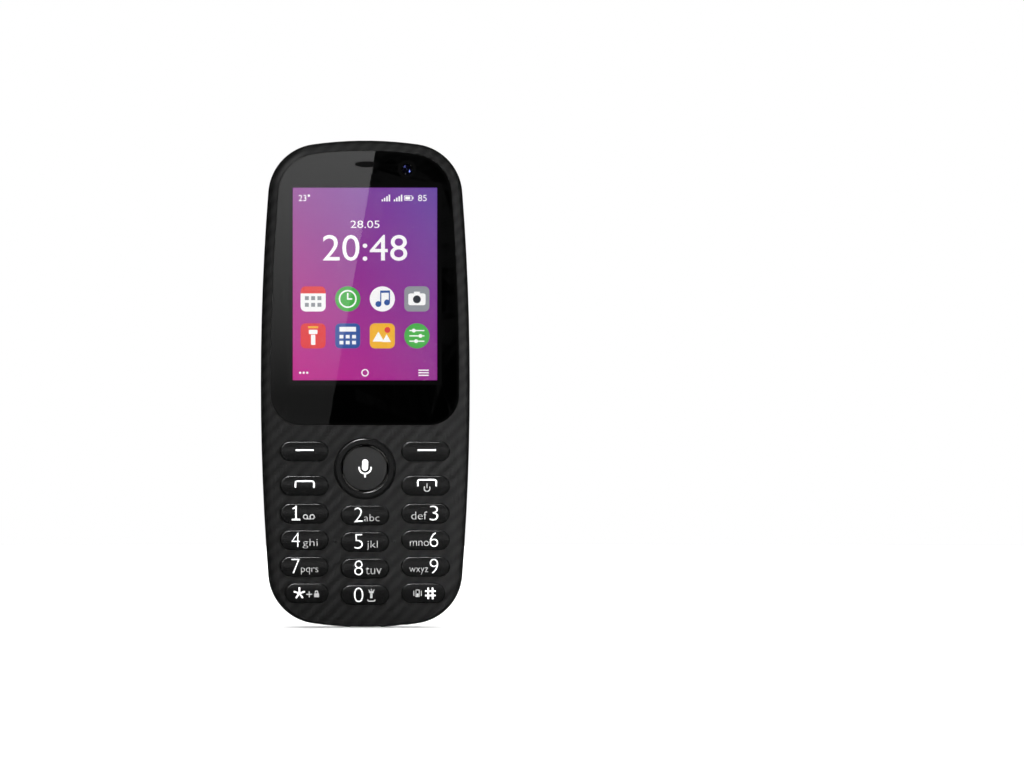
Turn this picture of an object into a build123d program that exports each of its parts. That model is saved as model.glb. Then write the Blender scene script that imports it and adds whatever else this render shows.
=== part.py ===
from build123d import *
import math
import os

# A candy-bar feature phone standing on its lower end, in millimetres.
# X points right as seen from the front, Y points from the front face to the back, and Z points up.
# The origin is under the middle of the lower end, and y = 0 lies half way through the thickness.

os.makedirs("parts", exist_ok=True)

# Whole phone
depth_over_keys = 14.8
panel_side_room = 5.35
window_above = 12.12
key_proud = 0.6
side_radius = 624.0
end_radius = 95.0
corner_radius = 13.2
overrun = 3.0
fit = 0.1
slip = 0.15
glue = 0.05

# Shell section, measured from the widest line, which is the seam
seam_from_keys = 6.37
front_band_draft = 0.45
front_edge_width = 2.5
front_edge_height = 2.2
back_band_length = 4.23
back_band_draft = 0.55
back_flat_width = 30.0
back_flat_length = 90.0
back_ellipse_height = 5.5
back_corner_share = 0.36
front_wall = 1.2
cover_wall = 1.2
side_wall = 1.3
seam_bevel = 0.15
edge_steps = 5
crown_steps = 7

# Chin, where the front face leans back towards the lower end
chin_top = 13.0
chin_radius = 45.6

# Locating lip on the front housing
lip_wall = 0.5
lip_reach_back = 0.8
lip_reach_front = 1.5

# Display window, its adhesive and the ledge that they sit on
window_inset = 2.75
window_above_keys = 4.25
window_below_screen = 11.42
window_corner = 7.6
window_thickness = 1.0
adhesive_thickness = 0.15
adhesive_margin = 0.4
ledge_thickness = 0.8
ledge_drop = 1.5

# Display: a 2.4 inch panel with 240 by 320 dots
screen_width = 36.72
screen_height = 48.96
screen_margin = 0.8
panel_side = 2.94
panel_below = 8.3
panel_above = 1.6
panel_thickness = 1.9
panel_glass_thickness = 0.6
panel_glass_border = 0.4
flex_width = 18.0
flex_drop = 4.4
flex_tuck = 3.4
flex_thickness = 0.1
flex_connector_width = 11.0
flex_connector_height = 2.6
flex_connector_thickness = 0.9
flex_connector_drop = 3.0

# Earpiece
earpiece_from_top = 6.2
earpiece_slot_width = 5.1
earpiece_slot_height = 1.6
earpiece_mesh_depth = 0.25
earpiece_mesh_thickness = 0.3
receiver_width = 11.0
receiver_height = 5.8
receiver_corner = 1.5
receiver_port_width = 7.0
receiver_port_height = 2.4

# Front camera
front_camera_beside_receiver = 2.6
front_camera_above_panel = 0.52
front_camera_size = 5.2
front_camera_corner = 0.5
front_camera_barrel = 2.2
front_camera_lens = 1.25
front_camera_lens_depth = 0.3

# Keys: columns, rows and caps
key_side_room = 5.2
key_column_gap = 3.3
key_height = 4.9
corner_key_trim = 1.2
key_row_gap = 1.85
last_row_z = 8.75
middle_column_drop = 0.45
call_row_rise = 7.1
soft_row_rise = 8.7
key_crown_radius = 13.0
key_round = 0.25
key_flange_margin = 0.35
key_flange_gap = 0.2
key_flange_thickness = 0.5
key_post_radius = 1.0
key_travel = 0.3
marker_radius = 0.35
marker_height = 0.25
marker_gap = 1.45

# Navigation ring, its rocking pad and the OK key
nav_side_gap = 1.75
nav_ring_width = 1.6
nav_round = 0.35
nav_gap = 0.3
nav_flange_margin = 0.7
nav_flange_gap = 0.5
nav_flange_thickness = 0.5
nav_pad_gap = 0.4
nav_pad_thickness = 0.4
nav_pad_width = 1.6
nav_nub_radius = 0.5
nav_nub_step = 0.9
ok_gap = 0.325
ok_crown_radius = 45.0
ok_round = 0.35
ok_disc_thickness = 2.2
ok_stem_step = 2.175

# Silicone mat and dome sheet behind the keys
mat_front_gap = 0.35
mat_thickness = 0.4
mat_inset = 3.0
mat_above_keys = 1.05
mat_rim = 1.0
mat_hole_gap = 0.3
dome_film = 0.15
dome_height = 0.25
dome_radius = 2.0
dome_inset = 4.0

# Main board and what is soldered to it
board_thickness = 0.8
board_inset = 2.3
board_gap = 0.1
led_size = 1.6
led_thickness = 0.6
can_wall = 0.2
can_height = 1.2
can_corner = 0.8
can_left_width = 17.0
can_left_height = 24.0
can_right_width = 18.0
can_right_height = 28.0
can_gap = 2.5
can_left_x = -10.5
can_from_top = 37.0
chip_thickness = 0.9
main_chip_size = 12.0
radio_chip_size = 8.0
memory_chip_width = 11.5
memory_chip_height = 8.0
chip_room = 1.0
chip_gap = 1.5
socket_thickness = 1.4
socket_height = 12.0
socket_screw_room = 2.0
socket_gap = 1.3
sim_side_room = 6.35
card_width = 12.0
socket_frame = 1.1
socket_recess = 0.9
contact_width = 0.8
contact_length = 3.2
contact_height = 0.4

# Connectors and microphones at the ends
usb_from_seam = -0.02
usb_width = 7.5
usb_thickness = 2.5
usb_length = 5.6
usb_setback = 0.6
usb_wall = 0.3
usb_chamfer = 0.55
usb_tongue_width = 3.9
usb_tongue_thickness = 0.6
usb_tongue_gap = 0.45
usb_opening_gap = 0.15
jack_beside_usb = 2.2
jack_from_seam = 0.88
jack_radius = 1.78
jack_end_wall = 0.8
jack_body_width = 6.2
jack_body_thickness = 4.7
jack_screw_gap = 1.05
jack_nose_radius = 2.35
jack_nose_length = 0.6
jack_room = 1.7
jack_opening_radius = 1.8
mic_capsule_radius = 1.7
mic_capsule_length = 1.6
mic_port_radius = 0.3
mic_port_depth = 0.5
bottom_mic_beside_jack = 7.25
bottom_mic_from_seam = 2.13
bottom_mic_room = 3.1
bottom_mic_hole = 0.5
top_mic_x = 10.5
top_mic_from_seam = 1.83
top_mic_room = 1.2
top_mic_hole = 0.55

# Chassis that closes the back of the housing and carries the battery
chassis_floor = 1.0
chassis_inset = 2.1
chassis_rim = 1.0
chassis_gap = 0.4
bay_gap = 0.4
bay_wall = 1.0
bay_wall_height = 2.6
pocket_wall_height = 2.4
card_window_gap = 0.5
notch_gap = 0.25

# Screws and their bosses
screw_top_side_room = 9.15
screw_top_room = 7.0
screw_side_room = 5.35
screw_below_window = 0.5
screw_row_lift = 0.125
boss_radius = 1.4
boss_foot_radius = 1.9
boss_bore_gap = 0.05
screw_radius = 0.7
screw_head_radius = 1.35
screw_head_height = 0.7
screw_bite = 3.4
screw_hole_gap = 0.15
screw_recess_width = 0.9
screw_recess_depth = 0.35

# Battery and its contacts
battery_side_room = 9.65
battery_above_sockets = 3.1
battery_below_speaker = 1.65
battery_back_gap = 0.5
battery_round = 0.8
contact_block_width = 9.0
contact_block_height = 2.1
contact_block_thickness = 2.75
contact_tip = 0.35
contact_pitch = 2.8

# Vibration motor
motor_back_room = 1.55
motor_length = 8.0
motor_side_room = 9.15
motor_z = 10.5
weight_step = 0.1
weight_length = 3.0
weight_gap = 0.4
shaft_radius = 0.4
shaft_gap = 0.1

# Loudspeaker, gasket and mesh
speaker_x = -6.7
speaker_from_top = 24.2
speaker_width = 18.0
speaker_height = 13.0
speaker_corner = 3.0
speaker_cone_border = 1.6
speaker_cone_depth = 0.5
gasket_thickness = 0.9
gasket_border = 1.4
mesh_thickness = 0.15
mesh_margin = 0.7
grille_columns = 8
grille_rows = 4
grille_pitch_x = 2.2
grille_pitch_z = 2.13
grille_radius = 0.4
grille_growth = 0.2

# Camera island on the back
camera_side_room = 14.29
camera_from_top = 21.0
flash_from_top = 28.7
island_from_top = 24.1
island_width = 10.4
island_height = 18.5
island_corner = 3.0
island_flange = 0.7
island_flange_thickness = 0.5
island_flange_gap = 0.9
glass_width = 8.0
glass_height = 16.2
glass_corner = 2.0
glass_thickness = 0.7
glass_seat = 0.6
camera_ring_radius = 2.95
camera_ring_width = 0.45
camera_ring_thickness = 0.35
camera_ring_gap = 0.7
camera_body_size = 8.5
camera_body_corner = 0.6
camera_barrel_radius = 3.2
camera_barrel_length = 0.9
camera_lens_radius = 1.5
camera_lens_depth = 0.5
flash_lens_radius = 1.525
flash_lens_thickness = 0.5
flash_led_size = 2.8
flash_led_thickness = 0.7
flash_post_size = 3.2
flash_lens_gap = 0.6

# Antenna
antenna_screw_room = 2.5
antenna_height = 9.0
antenna_from_top = 9.9
antenna_back_room = 2.55
antenna_corner = 1.5
antenna_film = 0.12
antenna_border = 1.0
antenna_slot = 1.2

# Grip notch in the edge of the rear cover
notch_bottom = 2.6
notch_top = 10.4
notch_height = 1.23
notch_depth = 0.8

# Sizes across and up the phone, worked out from the sizes above
panel_width = screen_width + 2 * panel_side
width = panel_width + 2 * panel_side_room
key_width = (width - 2 * key_side_room - 2 * key_column_gap) / 3
column_spacing = key_width + key_column_gap
row_pitch = key_height + key_row_gap
first_row_z = last_row_z + 3 * row_pitch
call_row_z = first_row_z + call_row_rise
soft_row_z = call_row_z + soft_row_rise
window_bottom = soft_row_z + key_height / 2 + window_above_keys
screen_middle = window_bottom + window_below_screen + screen_height / 2
length = screen_middle + screen_height / 2 + window_above
middle_z = length / 2
panel_bottom = screen_middle - screen_height / 2 - panel_below
panel_top = screen_middle + screen_height / 2 + panel_above
earpiece_z = length - earpiece_from_top
front_camera_x = receiver_width / 2 + front_camera_beside_receiver + front_camera_size / 2
front_camera_z = panel_top + front_camera_above_panel + front_camera_size / 2
marker_x = key_width / 2 + marker_gap
nav_z = (call_row_z + soft_row_z) / 2
nav_radius = column_spacing - key_width / 2 - nav_side_gap
nav_inner_radius = nav_radius - nav_ring_width
nav_nub_circle = nav_inner_radius + nav_nub_step
nav_pad_inner_radius = nav_nub_circle - nav_nub_radius
nav_pad_outer_radius = nav_pad_inner_radius + nav_pad_width
nav_room_radius = nav_radius + nav_flange_margin + nav_gap
ok_radius = nav_inner_radius - ok_gap
ok_stem_radius = ok_radius - ok_stem_step
mat_top = soft_row_z + key_height / 2 + mat_above_keys
jack_x = usb_width / 2 + jack_beside_usb + jack_body_width / 2
jack_setback = side_wall + jack_room
bottom_mic_x = jack_x + bottom_mic_beside_jack
bottom_mic_z = side_wall + bottom_mic_room
top_mic_z = length - side_wall - top_mic_room - mic_capsule_length
low_screw_z = first_row_z - 1.5 * row_pitch + screw_row_lift
screw_places = [(width / 2 - screw_top_side_room, length - screw_top_room),
                (width / 2 - screw_side_room, window_bottom - screw_below_window),
                (column_spacing / 2, low_screw_z)]
screws = [(side * x, z) for x, z in screw_places for side in (-1, 1)]
jack_body_length = low_screw_z - screw_head_radius - jack_screw_gap - jack_setback
jack_bore_length = jack_nose_length + jack_body_length - jack_end_wall
socket_z = low_screw_z + socket_screw_room + socket_height / 2
antenna_width = 2 * (width / 2 - screw_top_side_room - antenna_screw_room)
sim_width = width / 2 - sim_side_room - socket_gap - card_width / 2
sim_x = card_width / 2 + socket_gap + sim_width / 2
card_window_width = 2 * (sim_x + sim_width / 2 + card_window_gap)
card_window_height = socket_height + card_window_gap
speaker_z = length - speaker_from_top
battery_width = width - 2 * battery_side_room
battery_bottom = socket_z + socket_height / 2 + battery_above_sockets
bay_top = speaker_z - speaker_height / 2 - slip - bay_wall - battery_below_speaker - bay_wall
battery_height = bay_top - bay_gap - battery_bottom
camera_x = width / 2 - camera_side_room
camera_z = length - camera_from_top
flash_z = length - flash_from_top
island_z = length - island_from_top
antenna_z = length - antenna_from_top
motor_left_x = motor_side_room - width / 2
can_right_x = can_left_x + can_left_width / 2 + can_gap + can_right_width / 2
can_left_z = length - can_from_top - can_left_height / 2
can_right_z = length - can_from_top - can_right_height / 2

# Levels from front to back
key_top_y = -depth_over_keys / 2
front_y = key_top_y + key_proud
back_y = depth_over_keys / 2
seam_y = key_top_y + seam_from_keys
front_edge_y = front_y + front_edge_height
crease_y = seam_y + back_band_length
wall_back_y = front_y + front_wall
window_back_y = front_y + window_thickness
ledge_front_y = window_back_y + adhesive_thickness
ledge_back_y = ledge_front_y + ledge_thickness
panel_front_y = ledge_back_y + glue
panel_back_y = panel_front_y + panel_thickness
board_front_y = panel_back_y + board_gap
board_back_y = board_front_y + board_thickness
floor_front_y = board_back_y + can_height + chassis_gap
floor_back_y = floor_front_y + chassis_floor
cover_inner_y = back_y - cover_wall
room_depth = cover_inner_y - floor_back_y - glue
antenna_thickness = room_depth - antenna_back_room
motor_radius = (room_depth - motor_back_room) / 2
weight_radius = motor_radius - weight_step
speaker_thickness = room_depth - glue - mesh_thickness - slip - gasket_thickness
battery_thickness = cover_inner_y - battery_back_gap - floor_back_y - fit
dome_top_y = board_front_y - dome_film - dome_height
post_tip_y = dome_top_y - key_travel - fit
flange_front_y = wall_back_y + key_flange_gap
flange_back_y = flange_front_y + key_flange_thickness
mat_front_y = flange_back_y + key_travel + mat_front_gap
mat_back_y = mat_front_y + mat_thickness
usb_y = seam_y + usb_from_seam
jack_y = seam_y + jack_from_seam
bottom_mic_y = seam_y + bottom_mic_from_seam
top_mic_y = seam_y + top_mic_from_seam


# Outline helpers
def plan_wire(side_inset, end_inset, corner_inset, y):
    """The outline at one depth: a side, corner and end arc, tangent to each other, in all four quarters."""
    half_width = width / 2 - side_inset
    half_length = length / 2 - end_inset
    side_r = side_radius - side_inset
    end_r = end_radius - end_inset
    corner_r = corner_radius - corner_inset
    side_centre = Vector(half_width - side_r, 0)
    end_centre = Vector(0, half_length - end_r)
    apart = (end_centre - side_centre).length
    along = ((side_r - corner_r) ** 2 - (end_r - corner_r) ** 2 + apart ** 2) / (2 * apart)
    across = math.sqrt((side_r - corner_r) ** 2 - along ** 2)
    way = (end_centre - side_centre).normalized()
    corner = side_centre + way * along + Vector(-way.Y, way.X) * across
    side_end = side_centre + (corner - side_centre).normalized() * side_r
    end_end = end_centre + (corner - end_centre).normalized() * end_r
    middle = corner + ((side_end - corner) + (end_end - corner)).normalized() * corner_r

    def place(x, z):
        return Vector(x, y, middle_z + z)

    stops = [(side_end.X, -side_end.Y), (half_width, 0), (side_end.X, side_end.Y), (middle.X, middle.Y),
             (end_end.X, end_end.Y), (0, half_length), (-end_end.X, end_end.Y), (-middle.X, middle.Y),
             (-side_end.X, side_end.Y), (-half_width, 0), (-side_end.X, -side_end.Y),
             (-middle.X, -middle.Y), (-end_end.X, -end_end.Y), (0, -half_length), (end_end.X, -end_end.Y),
             (middle.X, -middle.Y)]
    points = [place(x, z) for x, z in stops] + [place(*stops[0])]
    return Wire([Edge.make_three_point_arc(*points[i:i + 3]) for i in range(0, len(stops), 2)])


def level(inset, y):
    return plan_wire(inset, inset, inset, y)


def plate(inset, y_front, y_back):
    """A flat plate with the phone's outline, drawn in by inset."""
    return loft([level(inset, y_front), level(inset, y_back)], True)


def prism(flat, y_front, y_back):
    """An outline drawn in x and z, made solid from y_front to y_back."""
    return extrude(Pos(0, y_back, 0) * (Plane.XZ * flat), amount=y_back - y_front)


def block(x, z, size_x, size_z, y_front, y_back, corner=0):
    """A plate of size_x by size_z about x, z, with its corners rounded if a radius is given."""
    flat = RectangleRounded(size_x, size_z, corner) if corner else Rectangle(size_x, size_z)
    return prism(Pos(x, z) * flat, y_front, y_back)


def disc(x, z, radius, y_front, y_back):
    return prism(Pos(x, z) * Circle(radius), y_front, y_back)


def rod_up(x, y, radius, z_low, z_high):
    """A round bar or hole that runs up the phone."""
    return Pos(x, y, (z_low + z_high) / 2) * Cylinder(radius, z_high - z_low)


def save(name, shape):
    """Write one node; several separate solids in it become one compound."""
    solids = shape.solids() if not isinstance(shape, list) else [s for one in shape for s in one.solids()]
    export_step(solids[0] if len(solids) == 1 else Compound(solids), f"parts/{name}.step")


# Shell surfaces
def crown_levels(wall):
    """Outlines of the domed back from the crease to the flat; a wall gives those of its inner face."""
    crease_turn = math.acos(1 - (back_y - crease_y) / back_ellipse_height)
    wide = (width / 2 - back_band_draft - back_flat_width / 2) / math.sin(crease_turn) - wall
    high = (length / 2 - back_band_draft - back_flat_length / 2) / math.sin(crease_turn) - wall
    levels = []
    for step in range(crown_steps):
        turn = crease_turn * (1 - step / (crown_steps - 1))
        side = width / 2 - back_flat_width / 2 - wide * math.sin(turn)
        end = length / 2 - back_flat_length / 2 - high * math.sin(turn)
        corner = side if step == 0 else first + back_corner_share * (side - first)
        first = side if step == 0 else first
        y = back_y - wall - (back_ellipse_height - wall) * (1 - math.cos(turn))
        levels.append(plan_wire(side, end, corner, y))
    return levels, back_y - wall - (back_ellipse_height - wall) * (1 - math.cos(crease_turn)), first


def edge_levels(wall):
    """Outlines of the rounded front edge, from the side band to the front face."""
    middle_inset = front_band_draft + front_edge_width
    levels = []
    for step in range(edge_steps + 1):
        turn = math.radians(90) * step / edge_steps
        inset = middle_inset - (front_edge_width - wall) * math.cos(turn)
        levels.append(level(inset, front_edge_y - (front_edge_height - wall) * math.sin(turn)))
    return levels


def loft(levels, ruled=False):
    return Part() + Solid.make_loft(levels, ruled)


def chin_sag(z):
    """How far the front face has leaned back at height z, and its slope there."""
    drop = max(0, chin_top - z)
    return chin_radius - math.sqrt(chin_radius ** 2 - drop ** 2), math.asin(drop / chin_radius)


def chin_cutter():
    """Everything in front of the leaning chin."""
    low_sag = chin_sag(-overrun)[0]
    mid_sag = chin_sag(chin_top / 2)[0]
    outline = Plane.YZ * make_face([
        ThreePointArc((front_y, chin_top), (front_y + mid_sag, chin_top / 2), (front_y + low_sag, -overrun)),
        Line((front_y + low_sag, -overrun), (front_y - overrun, -overrun)),
        Line((front_y - overrun, -overrun), (front_y - overrun, chin_top)),
        Line((front_y - overrun, chin_top), (front_y, chin_top))])
    return extrude(outline, amount=width, both=True)


def window_block(inset, bottom, corner, y_front, y_back):
    """The shape of the window: the phone's outline drawn in, cut level below, its lower corners round."""
    cut = block(0, bottom + length / 2, width, length, y_front - overrun, y_back + overrun)
    shape = plate(inset, y_front, y_back) & cut
    corners = shape.edges().filter_by(Axis.Y).group_by(Axis.Z)[0]
    return fillet(corners, corner)


# Key outlines
def pill(x, z, size_x, size_z, grow=0):
    return Pos(x, z) * SlotOverall(size_x + 2 * grow, size_z + 2 * grow)


def key_places():
    """Name, x, z and width of every pill-shaped key."""
    side_keys = [("left_soft_key", -1, soft_row_z), ("right_soft_key", 1, soft_row_z),
                 ("call_key", -1, call_row_z), ("end_key", 1, call_row_z)]
    places = [(name, side * column_spacing, z, key_width) for name, side, z in side_keys]
    for row in range(3):
        for column in (-1, 0, 1):
            z = first_row_z - row * row_pitch - (middle_column_drop if column == 0 else 0)
            places.append((f"key_{3 * row + column + 2}", column * column_spacing, z, key_width))
    last_z = first_row_z - 3 * row_pitch
    corner_x = column_spacing - corner_key_trim / 2
    corner_key_width = key_width - corner_key_trim
    places.append(("key_star", -corner_x, last_z, corner_key_width))
    places.append(("key_0", 0, last_z - middle_column_drop, key_width))
    places.append(("key_hash", corner_x, last_z, corner_key_width))
    return places


keys = key_places()
dome_places = [(x, z) for name, x, z, size_x in keys] + [
    (0, nav_z), (nav_nub_circle, nav_z), (-nav_nub_circle, nav_z), (0, nav_z + nav_nub_circle),
    (0, nav_z - nav_nub_circle)]


# Front housing
def usb_outline(grow):
    """The connector's outline, wide at the back, with its two front corners cut."""
    half_x = usb_width / 2 + grow
    half_y = usb_thickness / 2 + grow
    return Pos(0, usb_y) * Polygon((-half_x, half_y), (half_x, half_y), (half_x, -half_y + usb_chamfer),
                                   (half_x - usb_chamfer, -half_y), (-half_x + usb_chamfer, -half_y),
                                   (-half_x, -half_y + usb_chamfer), align=None)


def end_openings():
    """Holes for the connectors and microphones, cut through whatever shell is in their way."""
    usb = Pos(0, 0, -overrun) * extrude(usb_outline(usb_opening_gap), dir=(0, 0, 1),
                                        amount=usb_setback + usb_length + overrun)
    jack = rod_up(jack_x, jack_y, jack_opening_radius, -overrun, jack_setback + overrun)
    low_mic = rod_up(bottom_mic_x, bottom_mic_y, bottom_mic_hole, -overrun, bottom_mic_z + fit)
    high_mic_start = top_mic_z + mic_capsule_length - fit
    high_mic = rod_up(top_mic_x, top_mic_y, top_mic_hole, high_mic_start, length + overrun)
    return usb + jack + low_mic + high_mic


def connector_room(gap):
    """The space taken by the connector bodies behind the end wall, with a gap all round."""
    usb = Pos(0, usb_y, usb_setback + usb_length / 2) * Box(
        usb_width + 2 * gap, usb_thickness + 2 * gap, usb_length + 2 * gap)
    jack = Pos(jack_x, jack_y, jack_setback + jack_body_length / 2) * Box(
        jack_body_width + 2 * gap, jack_body_thickness + 2 * gap, jack_body_length + 2 * gap)
    nose_start = jack_setback - jack_nose_length - gap
    nose = rod_up(jack_x, jack_y, jack_nose_radius + gap, nose_start, jack_setback)
    mics = [rod_up(x, y, mic_capsule_radius + gap, z - gap, z + mic_capsule_length + gap)
            for x, y, z in ((bottom_mic_x, bottom_mic_y, bottom_mic_z), (top_mic_x, top_mic_y, top_mic_z))]
    return usb + jack + nose + mics[0] + mics[1]


def front_housing():
    outer = loft(edge_levels(0)) + loft([level(front_band_draft, front_edge_y), level(0, seam_y - seam_bevel),
                                         level(seam_bevel, seam_y)], True)
    inner_edge = loft(edge_levels(front_wall))
    band_inset = front_band_draft + front_wall
    inner_band = loft([level(band_inset, front_edge_y), level(side_wall, seam_y + glue)], True)
    lip = plate(side_wall + slip, seam_y - lip_reach_front, seam_y + lip_reach_back)
    lip -= plate(side_wall + slip + lip_wall, seam_y - lip_reach_front - fit, seam_y + lip_reach_back + fit)
    skirt = plate(side_wall - slip, seam_y - lip_reach_front, seam_y)
    skirt -= plate(side_wall + slip + lip_wall, seam_y - lip_reach_front - fit, seam_y + fit)
    ledge_bottom = window_bottom - ledge_drop
    ledge = window_block(side_wall, ledge_bottom, window_corner, wall_back_y - fit, ledge_back_y)
    body = (outer - inner_edge - inner_band + ledge + lip + skirt) - chin_cutter()
    for x, z in screws:
        foot_end = board_front_y - glue
        body += disc(x, z, boss_foot_radius, wall_back_y - fit, foot_end)
        body += disc(x, z, boss_radius, foot_end - fit, floor_front_y)
    bore_start = floor_front_y - screw_bite - fit
    for x, z in screws:
        body -= disc(x, z, screw_radius + boss_bore_gap, bore_start, floor_front_y + fit)
    body -= window_block(window_inset - fit, window_bottom - fit, window_corner + fit,
                         front_y - overrun, ledge_front_y)
    view_width = screen_width + 2 * screen_margin
    view_height = screen_height + 2 * screen_margin
    through_ledge = (front_y, ledge_back_y + overrun)
    body -= block(0, screen_middle, view_width, view_height, *through_ledge)
    port = prism(Pos(0, earpiece_z) * SlotOverall(receiver_port_width, receiver_port_height),
                 front_y, ledge_back_y + fit)
    body -= port
    body -= disc(front_camera_x, front_camera_z, front_camera_barrel + slip, front_y, ledge_back_y + fit)
    for name, x, z, size_x in keys:
        body -= prism(pill(x, z, size_x, key_height, slip), front_y - overrun, wall_back_y + fit)
    body -= disc(0, nav_z, nav_radius + nav_gap, front_y - overrun, wall_back_y + fit)
    row_z = first_row_z - row_pitch - middle_column_drop
    for side in (-1, 1):
        marker = Pos(side * marker_x, front_y, row_z) * Sphere(marker_radius)
        body += marker & block(0, middle_z, width, length, front_y - marker_height, front_y + marker_radius)
    return body - end_openings() - connector_room(slip)


# Window and display
def display_window():
    glass = window_block(window_inset, window_bottom, window_corner, front_y, window_back_y)
    slot = prism(Pos(0, earpiece_z) * Ellipse(earpiece_slot_width / 2, earpiece_slot_height / 2),
                 front_y - fit, window_back_y + fit)
    return glass - slot


def window_adhesive():
    tape = window_block(window_inset + adhesive_margin, window_bottom + adhesive_margin,
                        window_corner - adhesive_margin, window_back_y, ledge_front_y)
    opening = screen_margin + adhesive_margin
    tape -= block(0, screen_middle, screen_width + 2 * opening, screen_height + 2 * opening,
                  window_back_y - fit, ledge_front_y + fit)
    tape -= prism(Pos(0, earpiece_z) * SlotOverall(receiver_port_width, receiver_port_height),
                  window_back_y - fit, ledge_front_y + fit)
    return tape - disc(front_camera_x, front_camera_z, front_camera_barrel + slip,
                       window_back_y - fit, ledge_front_y + fit)


def display_module():
    panel_middle = (panel_bottom + panel_top) / 2
    panel_height = panel_top - panel_bottom
    glass_back_y = panel_front_y + panel_glass_thickness
    frame = block(0, panel_middle, panel_width, panel_height, glass_back_y, panel_back_y)
    glass_width = panel_width - 2 * panel_glass_border
    glass_height = panel_height - 2 * panel_glass_border
    glass = block(0, panel_middle, glass_width, glass_height, panel_front_y, glass_back_y)
    return frame + glass


def display_flex():
    top = panel_bottom + flex_tuck
    bottom = panel_bottom - flex_drop
    flex_back_y = panel_back_y + flex_thickness
    return block(0, (top + bottom) / 2, flex_width, top - bottom, panel_back_y, flex_back_y)


def display_connector():
    return block(0, panel_bottom - flex_connector_drop, flex_connector_width, flex_connector_height,
                 panel_back_y - flex_connector_thickness, panel_back_y)


def earpiece_mesh():
    flat = Ellipse(earpiece_slot_width / 2 - glue, earpiece_slot_height / 2 - glue)
    mesh_front = front_y + earpiece_mesh_depth
    return prism(Pos(0, earpiece_z) * flat, mesh_front, mesh_front + earpiece_mesh_thickness)


def earpiece_receiver():
    centre_z = panel_top + fit + slip + receiver_height / 2
    body = block(0, centre_z, receiver_width, receiver_height, panel_front_y, panel_back_y, receiver_corner)
    port = prism(Pos(0, earpiece_z) * SlotOverall(earpiece_slot_width, earpiece_slot_height),
                 panel_front_y - fit, panel_front_y + mic_port_depth)
    return body - port


def front_camera():
    body = block(front_camera_x, front_camera_z, front_camera_size, front_camera_size,
                 panel_front_y, panel_back_y, front_camera_corner)
    barrel_front = ledge_front_y + glue
    body += disc(front_camera_x, front_camera_z, front_camera_barrel, barrel_front, panel_front_y)
    return body - disc(front_camera_x, front_camera_z, front_camera_lens, barrel_front - fit,
                       barrel_front + front_camera_lens_depth)


# Keys
def pill_key(x, z, size_x):
    """A crowned cap, a flange behind the housing wall and a post that presses a dome."""
    sag, slope = chin_sag(z)
    stem = prism(pill(x, z, size_x, key_height), key_top_y - overrun, flange_back_y)
    axis_y = key_top_y + sag + key_crown_radius * math.cos(slope)
    axis_z = z + key_crown_radius * math.sin(slope)
    crown = Pos(x, axis_y, axis_z) * Rot(0, 90, 0) * Cylinder(key_crown_radius, 2 * size_x)
    cap = stem & crown
    cap = fillet(cap.faces().sort_by(Axis.Y)[0].edges(), key_round)
    flange = prism(pill(x, z, size_x, key_height, key_flange_margin), flange_front_y, flange_back_y)
    return cap + flange + disc(x, z, key_post_radius, flange_back_y, post_tip_y)


def nav_ring():
    flange_front = wall_back_y + nav_flange_gap
    flange_back = flange_front + nav_flange_thickness
    ring = disc(0, nav_z, nav_radius, key_top_y, flange_back)
    ring -= disc(0, nav_z, nav_inner_radius, key_top_y - fit, flange_back + fit)
    ring = fillet(ring.faces().sort_by(Axis.Y)[0].edges(), nav_round)
    flange = disc(0, nav_z, nav_radius + nav_flange_margin, flange_front, flange_back)
    return ring + (flange - disc(0, nav_z, nav_inner_radius, flange_front - fit, flange_back + fit))


nav_pad_front_y = wall_back_y + nav_flange_gap + nav_flange_thickness + nav_pad_gap
nav_pad_back_y = nav_pad_front_y + nav_pad_thickness


def nav_ring_pad():
    """The gimbal under the ring: it rocks on two nubs behind it and carries the ring on two in front."""
    pad = disc(0, nav_z, nav_pad_outer_radius, nav_pad_front_y, nav_pad_back_y)
    pad -= disc(0, nav_z, nav_pad_inner_radius, nav_pad_front_y - fit, nav_pad_back_y + fit)
    for side in (-1, 1):
        along = side * nav_nub_circle
        pad += disc(0, nav_z + along, nav_nub_radius, nav_pad_front_y - nav_pad_gap + glue, nav_pad_front_y)
        pad += disc(along, nav_z, nav_nub_radius, nav_pad_back_y, dome_top_y - glue)
    return pad


def ok_key():
    disc_back = key_top_y + ok_disc_thickness
    cap = disc(0, nav_z, ok_radius, key_top_y - fit, disc_back)
    cap &= Pos(0, key_top_y + ok_crown_radius, nav_z) * Sphere(ok_crown_radius)
    cap = fillet(cap.edges().sort_by(Axis.Y)[0], ok_round)
    stem = disc(0, nav_z, ok_stem_radius, disc_back, mat_front_y - key_travel - fit)
    return cap + stem + disc(0, nav_z, key_post_radius, disc_back, post_tip_y)


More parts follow.
